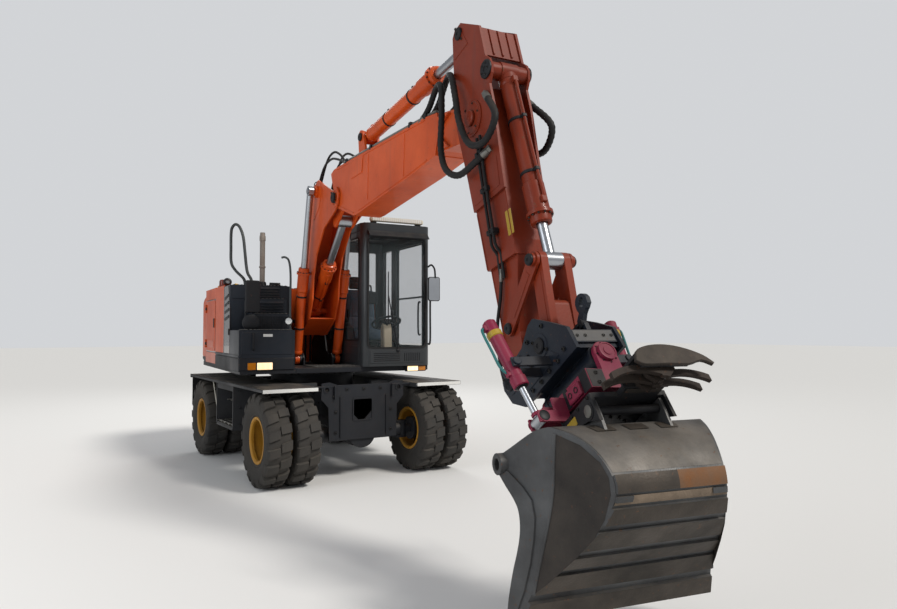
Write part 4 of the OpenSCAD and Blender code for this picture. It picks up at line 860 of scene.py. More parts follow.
for x0, z0, rows in ((0.784, 1.985, 4), (0.564, 2.175, 4)):
    for i in range(rows):
        z = z0 + 0.036 * i
        side.plate([(x0, z), (x0 + 0.022, z + 0.004), (x0 + 0.022, z + 0.009), (x0, z + 0.03)], -0.96, -0.61,
                   "navy", bevel=0.001)
side.lathe([(0.075, 0.0), (0.075, 0.03), (0.06, 0.045), (0.0, 0.047)], "black", UP @ shift(0.36, -0.62, 2.33),
           28)
side.box((0.345, -0.69, 2.368), (0.375, -0.55, 2.386), "black", 0.005)
# Loop of the handrail, and the exhaust
rails = Shape(UP)
rails.tube(bent([(0.25, -0.98, 2.325), (0.22, -0.99, 2.43), (0.08, -1.07, 2.55), (0.01, -1.115, 2.66),
                 (0.0, -1.12, 2.86), (0.0, -1.12, 3.05), (0.025, -1.11, 3.13), (0.08, -1.075, 3.165),
                 (0.14, -1.035, 3.12), (0.19, -1.0, 2.99), (0.23, -0.985, 2.8), (0.26, -0.97, 2.6),
                 (0.29, -0.955, 2.5), (0.35, -0.925, 2.42), (0.38, -0.92, 2.325)]), 0.019, "rail", 12)
for px, py in ((0.25, -0.98), (0.38, -0.92)):
    rails.lathe([(0.034, 0.0), (0.034, 0.008), (0.022, 0.02)], "black", UP @ shift(px, py, 2.33), 18, False)
stack = UP @ shift(-0.29, -0.64, 2.33)
rails.lathe([(0.09, 0.0), (0.09, 0.015), (0.06, 0.03), (0.055, 0.09), (0.045, 0.11)], "black", stack, 32,
            False)
rails.lathe([(0.036, 0.1), (0.036, 0.68), (0.042, 0.685), (0.042, 0.75), (0.036, 0.76), (0.033, 0.8)],
            "exhaust", stack, 32, False)
rails.lathe([(0.037, 0.3), (0.044, 0.305), (0.044, 0.325), (0.037, 0.33)], "exhaust", stack, 32)
rails.make("rails_and_exhaust", "superstructure", replaces=("rails_mirrors",), slot="deck_paint")
# Work lamp and tall mirror on the hooked pole, round mirror below
pole = bent([(1.07, -0.6, 1.76), (1.07, -0.6, 2.1), (1.07, -0.6, 2.45), (1.062, -0.62, 2.61),
             (1.04, -0.66, 2.655), (1.02, -0.7, 2.65)])
side.tube(pole, 0.013, "rail", 12)
side.tube(bent([(1.02, -1.125, 1.76), (1.02, -1.125, 1.95), (1.02, -1.125, 2.1), (0.995, -1.09, 2.2)]), 0.011,
          "black", 10)
mirror = UP @ shift(1.01, -1.045, 2.165) @ turn_z(12.0)
side.plate(rounded(-0.095, -0.195, 0.095, 0.195, 0.03), -0.025, 0.0, "black",
           mirror @ turn_z(90.0), 0.01)
side.plate(rounded(-0.082, -0.18, 0.082, 0.18, 0.025), 0.0, 0.003, "mirror",
           mirror @ turn_z(90.0), 0.001)
round_mirror = facing((1.06, -1.07, 1.85), (-1, 0.1, 0.05), UP)
side.lathe([(0.0, -0.03), (0.06, -0.028), (0.098, -0.008), (0.1, 0.004), (0.094, 0.004)], "black",
           round_mirror, 32)
side.lathe([(0.094, 0.002), (0.05, 0.008), (0.0, 0.01)], "mirror", round_mirror, 32)
side.tube([(1.02, -1.125, 1.86), (1.045, -1.09, 1.85)], 0.009, "black", 8)
lamp(side, facing((1.115, -0.63, 1.87), (1, -0.3, -0.05), UP), 0.045, "black", "lens")
side.tube([(1.07, -0.6, 1.87), (1.1, -0.62, 1.87)], 0.012, "black", 8)
side.make("right_side_skins", "superstructure", slot="box_navy")

# Beacon, lamp and caps on the rear of the hood
rear = Shape(UP)
beacon = UP @ shift(-1.0, -1.05, 2.352)
rear.lathe([(0.055, 0.0), (0.055, 0.02), (0.04, 0.03), (0.04, 0.045)], "black", beacon, 28, False)
rear.lathe([(0.05, 0.045), (0.052, 0.06), (0.05, 0.13), (0.035, 0.15), (0.0, 0.155)], "red_lamp", beacon, 28)
rear.tube([(-0.68, -1.02, 2.35), (-0.68, -1.02, 2.42)], 0.012, "black", 8)
lamp(rear, facing((-0.68, -1.04, 2.45), (-1, 0.1, -0.1), UP), 0.055, "black", "lens")
rear.lathe([(0.05, 0.0), (0.05, 0.045), (0.042, 0.065), (0.02, 0.078), (0.0, 0.08)], "cap_yellow",
           UP @ shift(-0.4, -0.97, 2.334), 28)
rear.box((-1.28, -1.08, 2.352), (-1.2, -0.98, 2.43), "amber", 0.012)
rear.tube(bent([(-1.3, 1.15, 2.34), (-1.29, 1.15, 2.44), (-1.2, 1.15, 2.47), (-0.8, 1.15, 2.47),
                (-0.72, 1.15, 2.44), (-0.71, 1.15, 2.34)]), 0.014, "black", 10)
studs(rear, [-1.26 + 0.065 * i for i in range(12)], [0.84 + 0.09 * j for j in range(3)], 2.35, 0.011)
rear.make("hood_fittings", "superstructure", slot="hood_orange")
hood.make("hood_edges", "superstructure", slot="hood_orange")

# Deck: boom bracket's pin caps, hoses' bulkhead, floor tread between cab and tank
deck = Shape(BOOM)
for y, d in ((-0.2065, -1), (0.2065, 1)):
    cap = facing(in_boom(FOOT, y), (0, d, 0), BOOM)
    deck.lathe([(0.062, 0.0), (0.062, 0.012), (0.05, 0.02), (0.0, 0.021)], "orange", cap, 36)
    deck.bolt(in_boom(FOOT + Vector((0.0, 0.088)), y - 0.002 * d), (0, d, 0), 0.013, 0.014, "bolt")
for y, d in ((-0.32, -1), (0.32, 1)):
    cap = facing(in_boom(LIFT_FOOT, y), (0, d, 0), BOOM)
    deck.lathe([(0.046, -0.003), (0.046, 0.004), (0.036, 0.008), (0.0, 0.008)], "black", cap, 28)
for y in (-0.12, -0.08, -0.04, 0.04, 0.08, 0.12):
    deck.lathe([(0.026, 0.0), (0.026, 0.012), (0.02, 0.014)], "steel", BOOM @ shift(-0.22, y, 1.3), 6, False)
deck.box((0.6, -0.3, 1.3), (1.17, 0.3, 1.306), "black", 0.002, UP)
studs(deck, [0.64 + 0.05 * i for i in range(11)], [-0.27 + 0.06 * j for j in range(10)], 1.305, 0.012)
deck.box((1.176, -0.55, 1.235), (1.19, 1.2, 1.3), "charcoal", 0.004, UP)
deck.make("deck_fittings", "superstructure", slot="deck_paint")

# Cab
FRONT = UP @ shift(CAB_X1, 0.0, 0.0) @ turn_z(90.0)
REAR = UP @ shift(CAB_X0, 0.0, 0.0) @ turn_z(90.0)
cab = Shape(UP)
frame_ring(cab, rounded(0.333, 1.523, 1.162, 2.957, 0.07), 0.022, -0.004, 0.012, "rubber", FRONT)
frame_ring(cab, rounded(0.345, 1.82, 1.15, 2.96, 0.06), 0.022, -0.012, 0.004, "rubber", REAR)
frame_ring(cab, rounded(-0.26, 1.62, 1.13, 2.96, 0.06), 0.022, CAB_Y0 - 0.008, CAB_Y0 + 0.004, "rubber", UP)
frame_ring(cab, rounded(-0.31, 1.82, 0.04, 2.96, 0.05), 0.022, CAB_Y1 - 0.004, CAB_Y1 + 0.006, "rubber", UP)
cab.box((0.42, 0.282, 1.64), (0.46, 0.288, 2.94), "rubber", 0.002)
# Roof: raised cap, drip rail, hatch, visor and light bar
cab.plate([(-0.4, 0.0), (-0.37, 0.03), (1.12, 0.03), (1.2, 0.0)], 0.33, 1.16, "cab", UP @ shift(0, 0, 3.128),
          0.01)
for y in (CAB_Y0 + 0.004, CAB_Y1 - 0.014):
    cab.box((-0.33, y - 0.006, 3.02), (1.15, y + 0.016, 3.045), "black", 0.006)
cab.box((0.08, 0.49, 3.158), (0.89, 1.0, 3.172), "black", 0.01)
visor = [(1.2, 3.0), (1.34, 2.95), (1.345, 2.958), (1.29, 3.02), (1.2, 3.06)]
cab.plate(visor, 0.33, 1.165, "black", bevel=0.003)
cab.box((1.13, 0.4, 3.165), (1.19, 1.15, 3.225), "cream", 0.014)
cab.box((1.115, 0.42, 3.12), (1.145, 0.5, 3.2), "black", 0.004)
cab.box((1.115, 1.05, 3.12), (1.145, 1.13, 3.2), "black", 0.004)
cab.box((1.187, 0.42, 3.172), (1.1945, 1.13, 3.219), "white", 0.002)
for k in range(24):
    cab.box((1.188, 0.424 + 0.03 * k, 3.172), (1.1975, 0.43 + 0.03 * k, 3.219), "cream", 0.001)
lamp(cab, facing((-0.46, 0.75, 3.04), (-1, 0, -0.15), UP), 0.05, "black", "lens")
# Wiper, lower vent grid, door of the lower front, grab tube
cab.tube([(1.262, 0.75, 1.5), (1.27, 0.75, 1.52), (1.262, 0.62, 2.2)], 0.008, "black", 8)
cab.plate([(-0.006, 0.0), (0.006, 0.0), (0.004, 0.66), (-0.004, 0.66)], -0.01, 0.004, "black",
          UP @ shift(1.262, 0.615, 1.85) @ turn_z(90.0))
cab.lathe([(0.022, 0.0), (0.022, 0.014), (0.012, 0.02), (0.0, 0.021)], "black",
          facing((1.262, 0.75, 1.5), (1, 0, 0), UP), 20)
cab.box((1.2595, 0.37, 1.34), (1.266, 1.12, 1.5), "cab", 0.003)
for k in range(5):
    cab.box((1.264, 0.42, 1.365 + 0.024 * k), (1.2695, 0.78, 1.376 + 0.024 * k), "black", 0.002)
for k in range(8):
    cab.box((1.264, 0.84 + 0.03 * k, 1.36), (1.2695, 0.852 + 0.03 * k, 1.47), "black", 0.002)
cab.tube(bent([(1.262, 1.185, 1.58), (1.3, 1.195, 1.62), (1.3, 1.195, 2.0), (1.3, 1.195, 2.4),
               (1.262, 1.185, 2.44)]), 0.013, "black", 12)
cab.box((1.17, 0.88, 1.225), (1.235, 1.17, 1.3), "black", 0.01)
cab.box((1.225, 0.9, 1.232), (1.242, 1.05, 1.293), "lamp_on", 0.008)
cab.box((1.225, 1.06, 1.232), (1.24, 1.155, 1.293), "amber", 0.008)
# Antenna, left mirror, sills
cab.tube([(-0.3, 0.4, 3.13), (-0.31, 0.4, 3.4), (-0.325, 0.4, 3.72)], 0.004, "black", 6)
cab.lathe([(0.02, 0.0), (0.018, 0.03), (0.006, 0.05)], "black", UP @ shift(-0.3, 0.4, 3.13), 16, False)
cab.tube(bent([(1.23, 1.2, 2.6), (1.3, 1.215, 2.62), (1.35, 1.235, 2.56), (1.36, 1.24, 2.44)]), 0.012,
         "black", 10)
mirror = UP @ shift(1.36, 1.225, 2.3) @ turn_z(78.0)
cab.plate(rounded(-0.08, -0.16, 0.08, 0.16, 0.03), 0.0, 0.028, "black", mirror, 0.01)
cab.plate(rounded(-0.07, -0.15, 0.07, 0.15, 0.025), -0.003, 0.001, "mirror", mirror, 0.001)
cab.box((-0.36, CAB_Y1 - 0.006, 1.34), (0.1, CAB_Y1 + 0.004, 1.78), "cab", 0.004)
for k in range(8):
    cab.box((-0.3, CAB_Y1, 1.4 + 0.045 * k), (0.04, CAB_Y1 + 0.0065, 1.42 + 0.045 * k), "black", 0.003)
cab.box((-0.36, CAB_Y0 - 0.006, 1.34), (1.14, CAB_Y0 + 0.002, 1.56), "cab", 0.004)
cab.make("cab_fittings", "superstructure", slot="cab_grey")

# Door: pane, seal, sill panel and handle
door = Shape(UP)
frame_ring(door, rounded(0.175, 1.525, 1.075, 2.955, 0.07), 0.03, 1.219, 1.2305, "rubber", UP)
door.box((0.17, 1.224, 1.38), (1.09, 1.2295, 1.51), "cab", 0.003)
door.box((0.98, 1.2245, 1.86), (1.08, 1.238, 1.9), "black", 0.006)
door.tube(bent([(1.03, 1.18, 1.7), (1.03, 1.15, 1.74), (1.03, 1.15, 2.1), (1.03, 1.18, 2.14)]), 0.012,
          "black", 10)
door.box((0.135, 1.219, 2.2), (1.11, 1.2285, 2.225), "black", 0.003)
door.make("door_fittings", "cab_door", slot="cab_grey")
pane = Shape(UP)
pane.plate(rounded(0.186, 1.536, 1.064, 2.944, 0.05), 1.2, 1.206, "glass")
pane.make("door_pane", "cab_door", slot="cab_glazing")

# Inside the cab
inside = Shape(UP)
SX, SY = 0.11, 0.747
inside.box((SX - 0.2, SY - 0.15, 1.34), (SX + 0.2, SY + 0.15, 1.4), "black", 0.01)
for k in range(6):
    z = 1.4 + 0.03 * k
    inside.box((SX - 0.17 + 0.008 * (k % 2), SY - 0.13 + 0.008 * (k % 2), z),
               (SX + 0.17, SY + 0.13, z + 0.03), "rubber", 0.008)
inside.box((SX - 0.22, SY - 0.22, 1.58), (SX + 0.22, SY + 0.22, 1.622), "black", 0.012)
inside.plate([(-0.2, 1.6), (-0.14, 1.6), (-0.235, 2.36), (-0.275, 2.36)], SY - 0.17, SY + 0.17, "black",
             bevel=0.012)
for s in (-1.0, 1.0):
    y = SY + s * 0.33
    inside.box((SX - 0.14, y - 0.07, 1.342), (SX + 0.1, y + 0.07, 1.6), "black", 0.015)
    inside.box((SX - 0.16, y - 0.06, 1.6), (SX + 0.26, y + 0.06, 1.82), "black", 0.02)
    inside.box((SX - 0.2, y - 0.045, 1.875), (SX + 0.1, y + 0.045, 1.925), "rubber", 0.018)
    inside.box((SX - 0.15, y - 0.025, 1.81), (SX - 0.1, y + 0.025, 1.885), "black", 0.006)
    stick = UP @ shift(SX + 0.2, y, 1.82)
    inside.lathe([(0.036, -0.005), (0.034, 0.02), (0.022, 0.05), (0.013, 0.06), (0.012, 0.11), (0.022, 0.13),
                  (0.026, 0.17), (0.024, 0.215), (0.014, 0.235), (0.0, 0.238)], "black", stick, 20)
inside.plate([(0.84, 1.342), (0.96, 1.342), (0.93, 1.8), (0.89, 1.86), (0.83, 1.83), (0.82, 1.78)], SY - 0.06,
             SY + 0.06, "beige", bevel=0.012)
wheel = UP @ shift(0.88, SY, 1.861) @ turn_y(-25.0)
inside.lathe([(0.19 + 0.014 * math.cos(2 * math.pi * k / 10),
               0.014 * math.sin(2 * math.pi * k / 10)) for k in range(10)], "black", wheel, 40)
inside.lathe([(0.05, -0.03), (0.05, 0.012), (0.035, 0.02), (0.0, 0.021)], "black", wheel, 24)
for a in (90.0, 210.0, 330.0):
    p = polar(0.182, a)
    inside.tube([(0.0, 0.0, 0.0), (p.x * 0.5, p.y * 0.5, -0.006), (p.x, p.y, 0.0)], 0.011, "black", 8, wheel)
inside.lathe([(0.02, -0.05), (0.02, 0.0)], "black", wheel, 16, False)
for y in (0.57, 0.93):
    inside.box((0.98, y - 0.05, 1.342), (1.1, y + 0.05, 1.37), "steel", 0.006)
    inside.tube([(0.95, y, 1.36), (0.93, y, 1.5)], 0.009, "black", 8)
inside.box((0.9, SY - 0.13, 1.342), (1.12, SY + 0.13, 1.36), "rubber", 0.005)
inside.box((1.06, 0.335, 1.9), (1.1, 0.36, 2.3), "black", 0.006)
inside.box((1.03, 0.345, 2.1), (1.06, 0.55, 2.26), "black", 0.01)
inside.box((1.026, 0.36, 2.115), (1.031, 0.535, 2.245), "screen", 0.001)
inside.make("cab_interior", "superstructure", replaces=("cab_inside",), slot="cab_grey")

# Stands a cushion up, its face forwards and leant back
LEAN = turn_y(-7.0) @ turn_y(90.0) @ turn_z(180.0)


def pillow(name, size, at, mat, crown, groove):
    """Crowned cushion: a rounded block that swells, with piped seams, puffed by air where time allows."""
    bm = bmesh.new()
    bmesh.ops.create_cube(bm, size=1.0)
    for v in bm.verts:
        v.co = Vector([c * w for c, w in zip(v.co, size)])
    bmesh.ops.bevel(bm, geom=bm.edges[:], offset=min(size) * 0.3, segments=3, affect="EDGES", profile=0.5)
    mesh = bpy.data.meshes.new(name)
    bm.to_mesh(mesh)
    bm.free()
    o = bpy.data.objects.new(name, mesh)
    COLL.objects.link(o)
    bpy.context.view_layer.objects.active = o
    o.select_set(True)
    remesh = o.modifiers.new("even", "REMESH")
    remesh.mode = "VOXEL"
    remesh.voxel_size = 0.007
    bpy.ops.object.modifier_apply(modifier="even")
    hx, hy, hz = (w / 2 for w in size)
    held = o.vertex_groups.new(name="held")
    for v in o.data.vertices:
        c = v.co
        sink = max((math.exp(-((c[axis] - place) / 0.011) ** 2) for axis, place in groove), default=0.0)
        low = c.z < -hz * 0.55
        held.add([v.index], 1.0 if low else min(1.0, 0.9 * sink), "REPLACE")
        if not low:
            u = (1 - (c.x / hx) ** 2) * (1 - (c.y / hy) ** 2)
            v.co = c + Vector((0.0, 0.0, crown * max(0.0, u) * (1 - 0.55 * sink) - 0.007 * sink))
    start = [v.co.copy() for v in o.data.vertices]
    cloth = o.modifiers.new("air", "CLOTH")
    cloth.settings.quality = 4
    cloth.settings.mass = 0.25
    cloth.settings.tension_stiffness = 22.0
    cloth.settings.compression_stiffness = 22.0
    cloth.settings.bending_stiffness = 1.2
    cloth.settings.use_pressure = True
    cloth.settings.uniform_pressure_force = 4.0
    cloth.settings.vertex_group_mass = "held"
    cloth.settings.effector_weights.gravity = 0.0
    cloth.collision_settings.use_collision = False
    for f in range(1, 21):
        bpy.context.scene.frame_set(f)
    bpy.ops.object.modifier_apply(modifier="air")
    bpy.context.scene.frame_set(1)
    for v, c in zip(o.data.vertices, start):
        move = v.co - c
        if move.length > 0.012:
            v.co = c + move * (0.012 / move.length)
    smooth = o.modifiers.new("calm", "SMOOTH")
    smooth.factor = 0.4
    smooth.iterations = 2
    bpy.ops.object.modifier_apply(modifier="calm")
    o.select_set(False)
    o.data.materials.append(M[mat])
    o.data.shade_smooth()
    o.matrix_world = at
    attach(o, "superstructure")
    return o


pillow("seat_cushion", (0.5, 0.5, 0.15), UP @ shift(SX, SY, 1.695), "seat", 0.022,
       ((1, -0.15), (1, 0.15), (0, 0.04)))
lean = UP @ shift(-0.165, SY, 2.05) @ LEAN
pillow("seat_backrest", (0.6, 0.46, 0.12), lean, "seat", 0.02, ((1, -0.14), (1, 0.14), (0, -0.1)))
pillow("seat_headrest", (0.18, 0.27, 0.09), UP @ shift(-0.222, SY, 2.46) @ LEAN, "seat_black", 0.01,
       ((0, 0.0),))


# Booms, arm, cylinders and their pipes, all in the boom's frame
def pin_cap(shape, p, y, r, mat, at=BOOM, bolts=0, lock=False):
    """Cap of a pin on the outside of both walls, with its lock bolts."""
    for d in (-1.0, 1.0):
        cap = facing(in_boom(p, d * y), (0, d, 0), at)
        shape.lathe([(r, -0.002), (r, 0.012), (r * 0.86, 0.019), (r * 0.3, 0.019), (r * 0.24, 0.014),
                     (0.0, 0.014)], mat, cap, 32)
        if lock:
            bolt_circle(shape, 2, r + 0.022, 0.0, 0.011, 0.014, cap, 130.0)
        bolt_circle(shape, bolts, r * 0.62, 0.017, 0.007, 0.008, cap)


def pipes(shape, points, ys, r, mat, clamps=()):
    """Parallel pipes along points of the boom's plane, with clamp blocks at the given shares of the run."""
    line = bent(points)
    for y in ys:
        shape.tube([in_boom(p, y) for p in line], r, mat, 10)
    for share in clamps:
        i = min(len(line) - 2, int(share * (len(line) - 1)))
        d = line[i + 1] - line[i]
        at = BOOM @ shift(line[i].x, 0.0, line[i].y) @ turn_y(-math.degrees(math.atan2(d.y, d.x)))
        shape.box((-0.022, min(ys) - r - 0.014, -r - 0.022), (0.022, max(ys) + r + 0.014, r + 0.008), "black",
                  0.005, at)
        shape.bolt((0.0, sum(ys) / len(ys), r + 0.008), (0, 0, 1), 0.009, 0.01, "bolt", at)


def ferrule(shape, p, d, r):
    """Crimped end of a hose with its nut, from p back along d."""
    m = facing(p, d, BOOM)
    shape.lathe([(r * 1.12, -0.01), (r * 1.22, 0.0), (r * 1.22, 0.05), (r * 1.05, 0.055)], "steel", m, 14,
                False)
    shape.lathe([(r * 1.25, 0.055), (r * 1.25, 0.08)], "steel", m, 6, False)


def hose(name, route, r, shape_a, shape_b, ribs=0.0):
    """Free hose through the route's points between bodies a and b; it stays in place on no body, and its
    ferrules go on shapes a and b.
    """
    line = bent(route, 4)
    shape = Shape(BOOM)
    shape.tube(bent(line, 3) if ribs else line, r, "rubber", 12, ribs=ribs)
    o = shape.make(name, None)
    ferrule(shape_a, line[0], line[0] - line[1], r)
    ferrule(shape_b, line[-1], line[-1] - line[-2], r)
    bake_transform(o)


def gland(shape, foot, top, br, rr, length, eye, ys=(0.0,), mat="orange", pipe=1.0):
    """Barrel's end cap with bolts, its ports and the pipe that feeds the rod side."""
    for y in ys:
        m = along(foot, top, y)
        x = m @ shift(length, 0.0, 0.0) @ turn_y(90.0)
        shape.lathe([(rr + 0.004, 0.0), (rr + 0.004, 0.012), (rr + 0.02, 0.016), (br + 0.006, 0.01),
                     (br + 0.009, 0.0), (br + 0.009, -0.06), (br + 0.001, -0.068)], mat, x, 32)
        shape.lathe([(br + 0.001, -0.3), (br + 0.012, -0.29), (br + 0.012, -0.075), (br + 0.028, -0.07),
                     (br + 0.028, -0.045), (br + 0.009, -0.042)], mat, x, 36)
        bolt_circle(shape, 12, br + 0.017, -0.045, 0.007, 0.01, x, 12.0)
        shape.lathe([(br + 0.001, eye), (br + 0.006, eye + 0.008), (br + 0.006, eye + 0.04),
                     (br + 0.001, eye + 0.048)], mat, m @ turn_y(90.0), 32)
        h = pipe * (br + 0.02)
        run = bent([(eye + 0.03, 0, pipe * br * 0.9), (eye + 0.05, 0, h), (length * 0.5, 0, h),
                    (length - 0.35, 0, h), (length - 0.2, 0, pipe * (br + 0.026)),
                    (length - 0.13, 0, pipe * (br + 0.012))])
        shape.tube(run, 0.011, mat, 10, m)
        for share in (0.35, 0.7):
            shape.lathe([(br + 0.001, -0.012), (br + 0.006, -0.01), (br + 0.006, 0.01), (br + 0.001, 0.012)],
                        "black", m @ shift(length * share, 0, 0) @ turn_y(90.0), 32)
            shape.box((length * share - 0.014, -0.018, pipe * br),
                      (length * share + 0.014, 0.018, h + pipe * 0.014), "black", 0.004, m)
        for px in (eye + 0.03, length - 0.14):
            shape.box((px - 0.025, -0.022, pipe * (br - 0.01)), (px + 0.025, 0.022, pipe * (br + 0.03)), mat,
                      0.005, m)


LOW = Shape(BOOM)
pin_cap(LOW, FOOT, 0.18, 0.058, "orange")
pin_cap(LOW, MID, 0.2, 0.062, "black", lock=True)
pin_cap(LOW, LIFT_TOP, 0.222, 0.05, "orange")
for s in (-1.0, 1.0):
    for p, r in ((FOOT, 0.1), (MID, 0.115), (ADJ_FOOT, 0.075)):
        ring = facing(in_boom(p, s * 0.18), (0, s, 0), BOOM)
        LOW.lathe([(r - 0.03, 0.0), (r - 0.03, 0.006), (r - 0.006, 0.006), (r, 0.0)], "orange", ring, 40)
    # Weld bead along the webs and the doubler round the lift pin
    LOW.plate([b1(1.55, 0.44), b1(1.78, 0.4), b1(2.02, 0.46), b1(2.02, 0.6), b1(1.9, 0.7), b1(1.7, 0.68)],
              s * 0.1795, s * 0.1845, "orange", bevel=0.002)
    beads(LOW, ((b1(0.2, -0.23), b1(0.55, -0.335)), (b1(0.55, -0.335), b1(0.82, -0.25)),
                (b1(0.27, 0.25), b1(0.83, 0.45)), (b1(0.83, 0.45), b1(1.5, 0.655))), s * 0.181, 0.006,
          "orange")
pipes(LOW, [b1(0.24, 0.255), b1(0.3, 0.32), b1(0.835, 0.51), b1(1.3, 0.648), b1(1.5, 0.706)],
      (-0.12, -0.08, 0.08, 0.12), 0.012, "steel", clamps=(0.3, 0.62, 0.88))
LOW.box((-0.03, -0.15, 0.0), (0.04, 0.15, 0.05), "black", 0.006,
        BOOM @ shift(b1(1.5, 0.68).x, 0, b1(1.5, 0.68).y)
        @ turn_y(-A1))
for x, y in ((0.0, -0.1), (0.0, 0.1)):
    lamp(LOW, facing(in_boom(b1(1.86, 0.77), y * 1.4), (0.95, 0, -0.3), BOOM), 0.045, "black", "lens")

TOP = Shape(BOOM)
pin_cap(TOP, ARMCYL_FOOT, 0.094, 0.045, "black")
pin_cap(TOP, ARM_PIN, 0.19, 0.06, "arm")
for s in (-1.0, 1.0):
    beads(TOP, ((b2(0.1, -0.12), b2(0.56, -0.27)), (b2(0.7, -0.27), b2(2.09, -0.155)),
                (b2(2.09, -0.155), b2(2.4, -0.12)), (b2(0.0, 0.335), b2(1.585, 0.272)),
                (b2(1.585, 0.272), b2(2.36, 0.238))), s * 0.156, 0.006, "orange")
    beads(TOP, [(b2(x, -0.2 + 0.05 * (x - 0.98)), b2(x + 0.03, 0.3 - 0.03 * x)) for x in (0.98, 1.9)],
          s * 0.156, 0.0055, "orange")
    TOP.plate([b2(0.5, 0.12), b2(0.82, 0.12), b2(0.86, 0.3), b2(0.42, 0.32)], s * 0.1545, s * 0.163, "orange",
              bevel=0.003)
    # Ribs where the box narrows to the neck
    TOP.plate([b2(2.6, -0.09), b2(2.78, -0.09), b2(2.62, 0.04)], s * 0.124, s * 0.155, "orange", bevel=0.003)
    TOP.plate([b2(2.6, 0.2), b2(2.8, 0.18), b2(2.62, 0.1)], s * 0.124, s * 0.155, "orange", bevel=0.003)
    ring = facing(in_boom(MID, s * 0.1555), (0, s, 0), BOOM)
    TOP.lathe([(0.05, 0.0), (0.05, 0.006), (0.092, 0.006), (0.098, 0.0)], "orange", ring, 40)
pipes(TOP, [b2(0.2, 0.374), b2(0.3, 0.374), b2(0.5, 0.365)], (-0.13, 0.13), 0.013, "steel", clamps=(0.5,))
pipes(TOP, [b2(0.86, 0.349), b2(1.6, 0.317), b2(2.2, 0.287), b2(2.36, 0.28), b2(2.55, 0.266)],
      (-0.13, -0.09, 0.09, 0.13), 0.013, "steel", clamps=(0.1, 0.42, 0.75))
pipes(TOP, [b2(0.5, 0.365), b2(0.86, 0.349)], (-0.13, 0.13), 0.013, "steel")
TOP.box((0.0, 0.02, -0.03), (0.12, 0.06, 0.02), "black", 0.006,
        BOOM @ shift(b2(2.5, 0.28).x, 0, b2(2.5, 0.28).y))

ARM = Shape(BOOM)
pin_cap(ARM, ARMCYL_TOP, 0.17, 0.05, "black", lock=True)
pin_cap(ARM, BUCKCYL_FOOT, 0.17, 0.07, "black", bolts=5)
pin_cap(ARM, TIP, 0.19, 0.05, "coupler")
for s in (-1.0, 1.0):
    ring = facing(in_boom(ARM_PIN, s * 0.178), (0, s, 0), BOOM)
    ARM.lathe([(0.062, 0.0), (0.062, 0.005), (0.085, 0.008), (0.12, 0.008), (0.126, 0.0)], "arm", ring, 40)
    bolt_circle(ARM, 6, 0.11, 0.006, 0.008, 0.009, ring, 15.0)
    ARM.plate([ar(-0.8, 0.02), ar(-0.8, -0.05), ar(-0.77, -0.09), ar(-0.6, -0.12), ar(-0.6, 0.1)], s * 0.169,
              s * 0.174, "arm", bevel=0.002)
    ARM.plate([ar(0.44, -0.15), ar(0.66, -0.14), ar(0.66, 0.22), ar(0.44, 0.235)], s * 0.169, s * 0.174,
              "arm", bevel=0.002)
    beads(ARM, ((ar(0.72, -0.16), ar(1.17, -0.132)), (ar(0.72, 0.238), ar(1.07, 0.243))), s * 0.15, 0.006,
          "arm")
    beads(ARM, ((ar(1.12, -0.13), ar(1.45, -0.11)), (ar(1.45, -0.11), ar(1.95, -0.085)),
                (ar(1.12, 0.238), ar(1.45, 0.158)), (ar(1.45, 0.158), ar(1.7, 0.103))), s * 0.1205, 0.005,
          "arm")
    # Pipes along the arm's side with their clamps
    for t in (0.03, 0.075):
        run = bent([ar(0.2, t + 0.02), ar(0.5, t), ar(1.0, t), ar(1.12, t - 0.01), ar(1.3, t - 0.02)])
        ys = [s * (0.19 if i < 13 else 0.19 - 0.045 * min(1.0, (i - 13) / 5)) for i in range(len(run))]
        ARM.tube([in_boom(p, y) for p, y in zip(run, ys)], 0.0115, "rubber", 10)
    for x in (0.33, 0.62, 0.95):
        m = BOOM @ shift(ar(x, 0.052).x, s * 0.19, ar(x, 0.052).y) @ turn_y(-A3)
        ARM.box((-0.02, s * -0.04, -0.045), (0.02, s * 0.018, 0.045), "black", 0.005, m)
        ARM.bolt((0.0, s * 0.018, 0.0), (0, s, 0), 0.009, 0.01, "bolt", m)
ARM.plate([ar(0.86, 0.2), ar(1.04, 0.2), ar(1.04, 0.27), ar(0.86, 0.27)], -0.152, -0.1485, "yellow")
ARM.plate([ar(0.72, -0.2), ar(0.86, -0.19), ar(0.86, -0.16), ar(0.72, -0.165)], -0.06, 0.06, "arm",
          bevel=0.004)

gl = Shape(BOOM)
gland(gl, LIFT_FOOT, LIFT_TOP, 0.06, 0.04, 1.205, 0.077, ys=(-0.272, 0.272))
gl.make("lift_cylinder_fittings", "lift_barrels", slot="boom_orange")
gl = Shape(BOOM)
gland(gl, ADJ_FOOT, ADJ_TOP, 0.075, 0.045, 0.89, 0.095, pipe=-1.0)
gl.make("adjust_cylinder_fittings", "adjust_barrel", slot="boom_orange")
gl = Shape(BOOM)
gland(gl, ARMCYL_FOOT, ARMCYL_TOP, 0.072, 0.042, 1.7, 0.11)
gl.make("arm_cylinder_fittings", "arm_cylinder_barrel", slot="boom_orange")
BCYL = Shape(BOOM)
gland(BCYL, BUCKCYL_FOOT, KNEE, 0.066, 0.038, 1.255, 0.085, mat="arm")

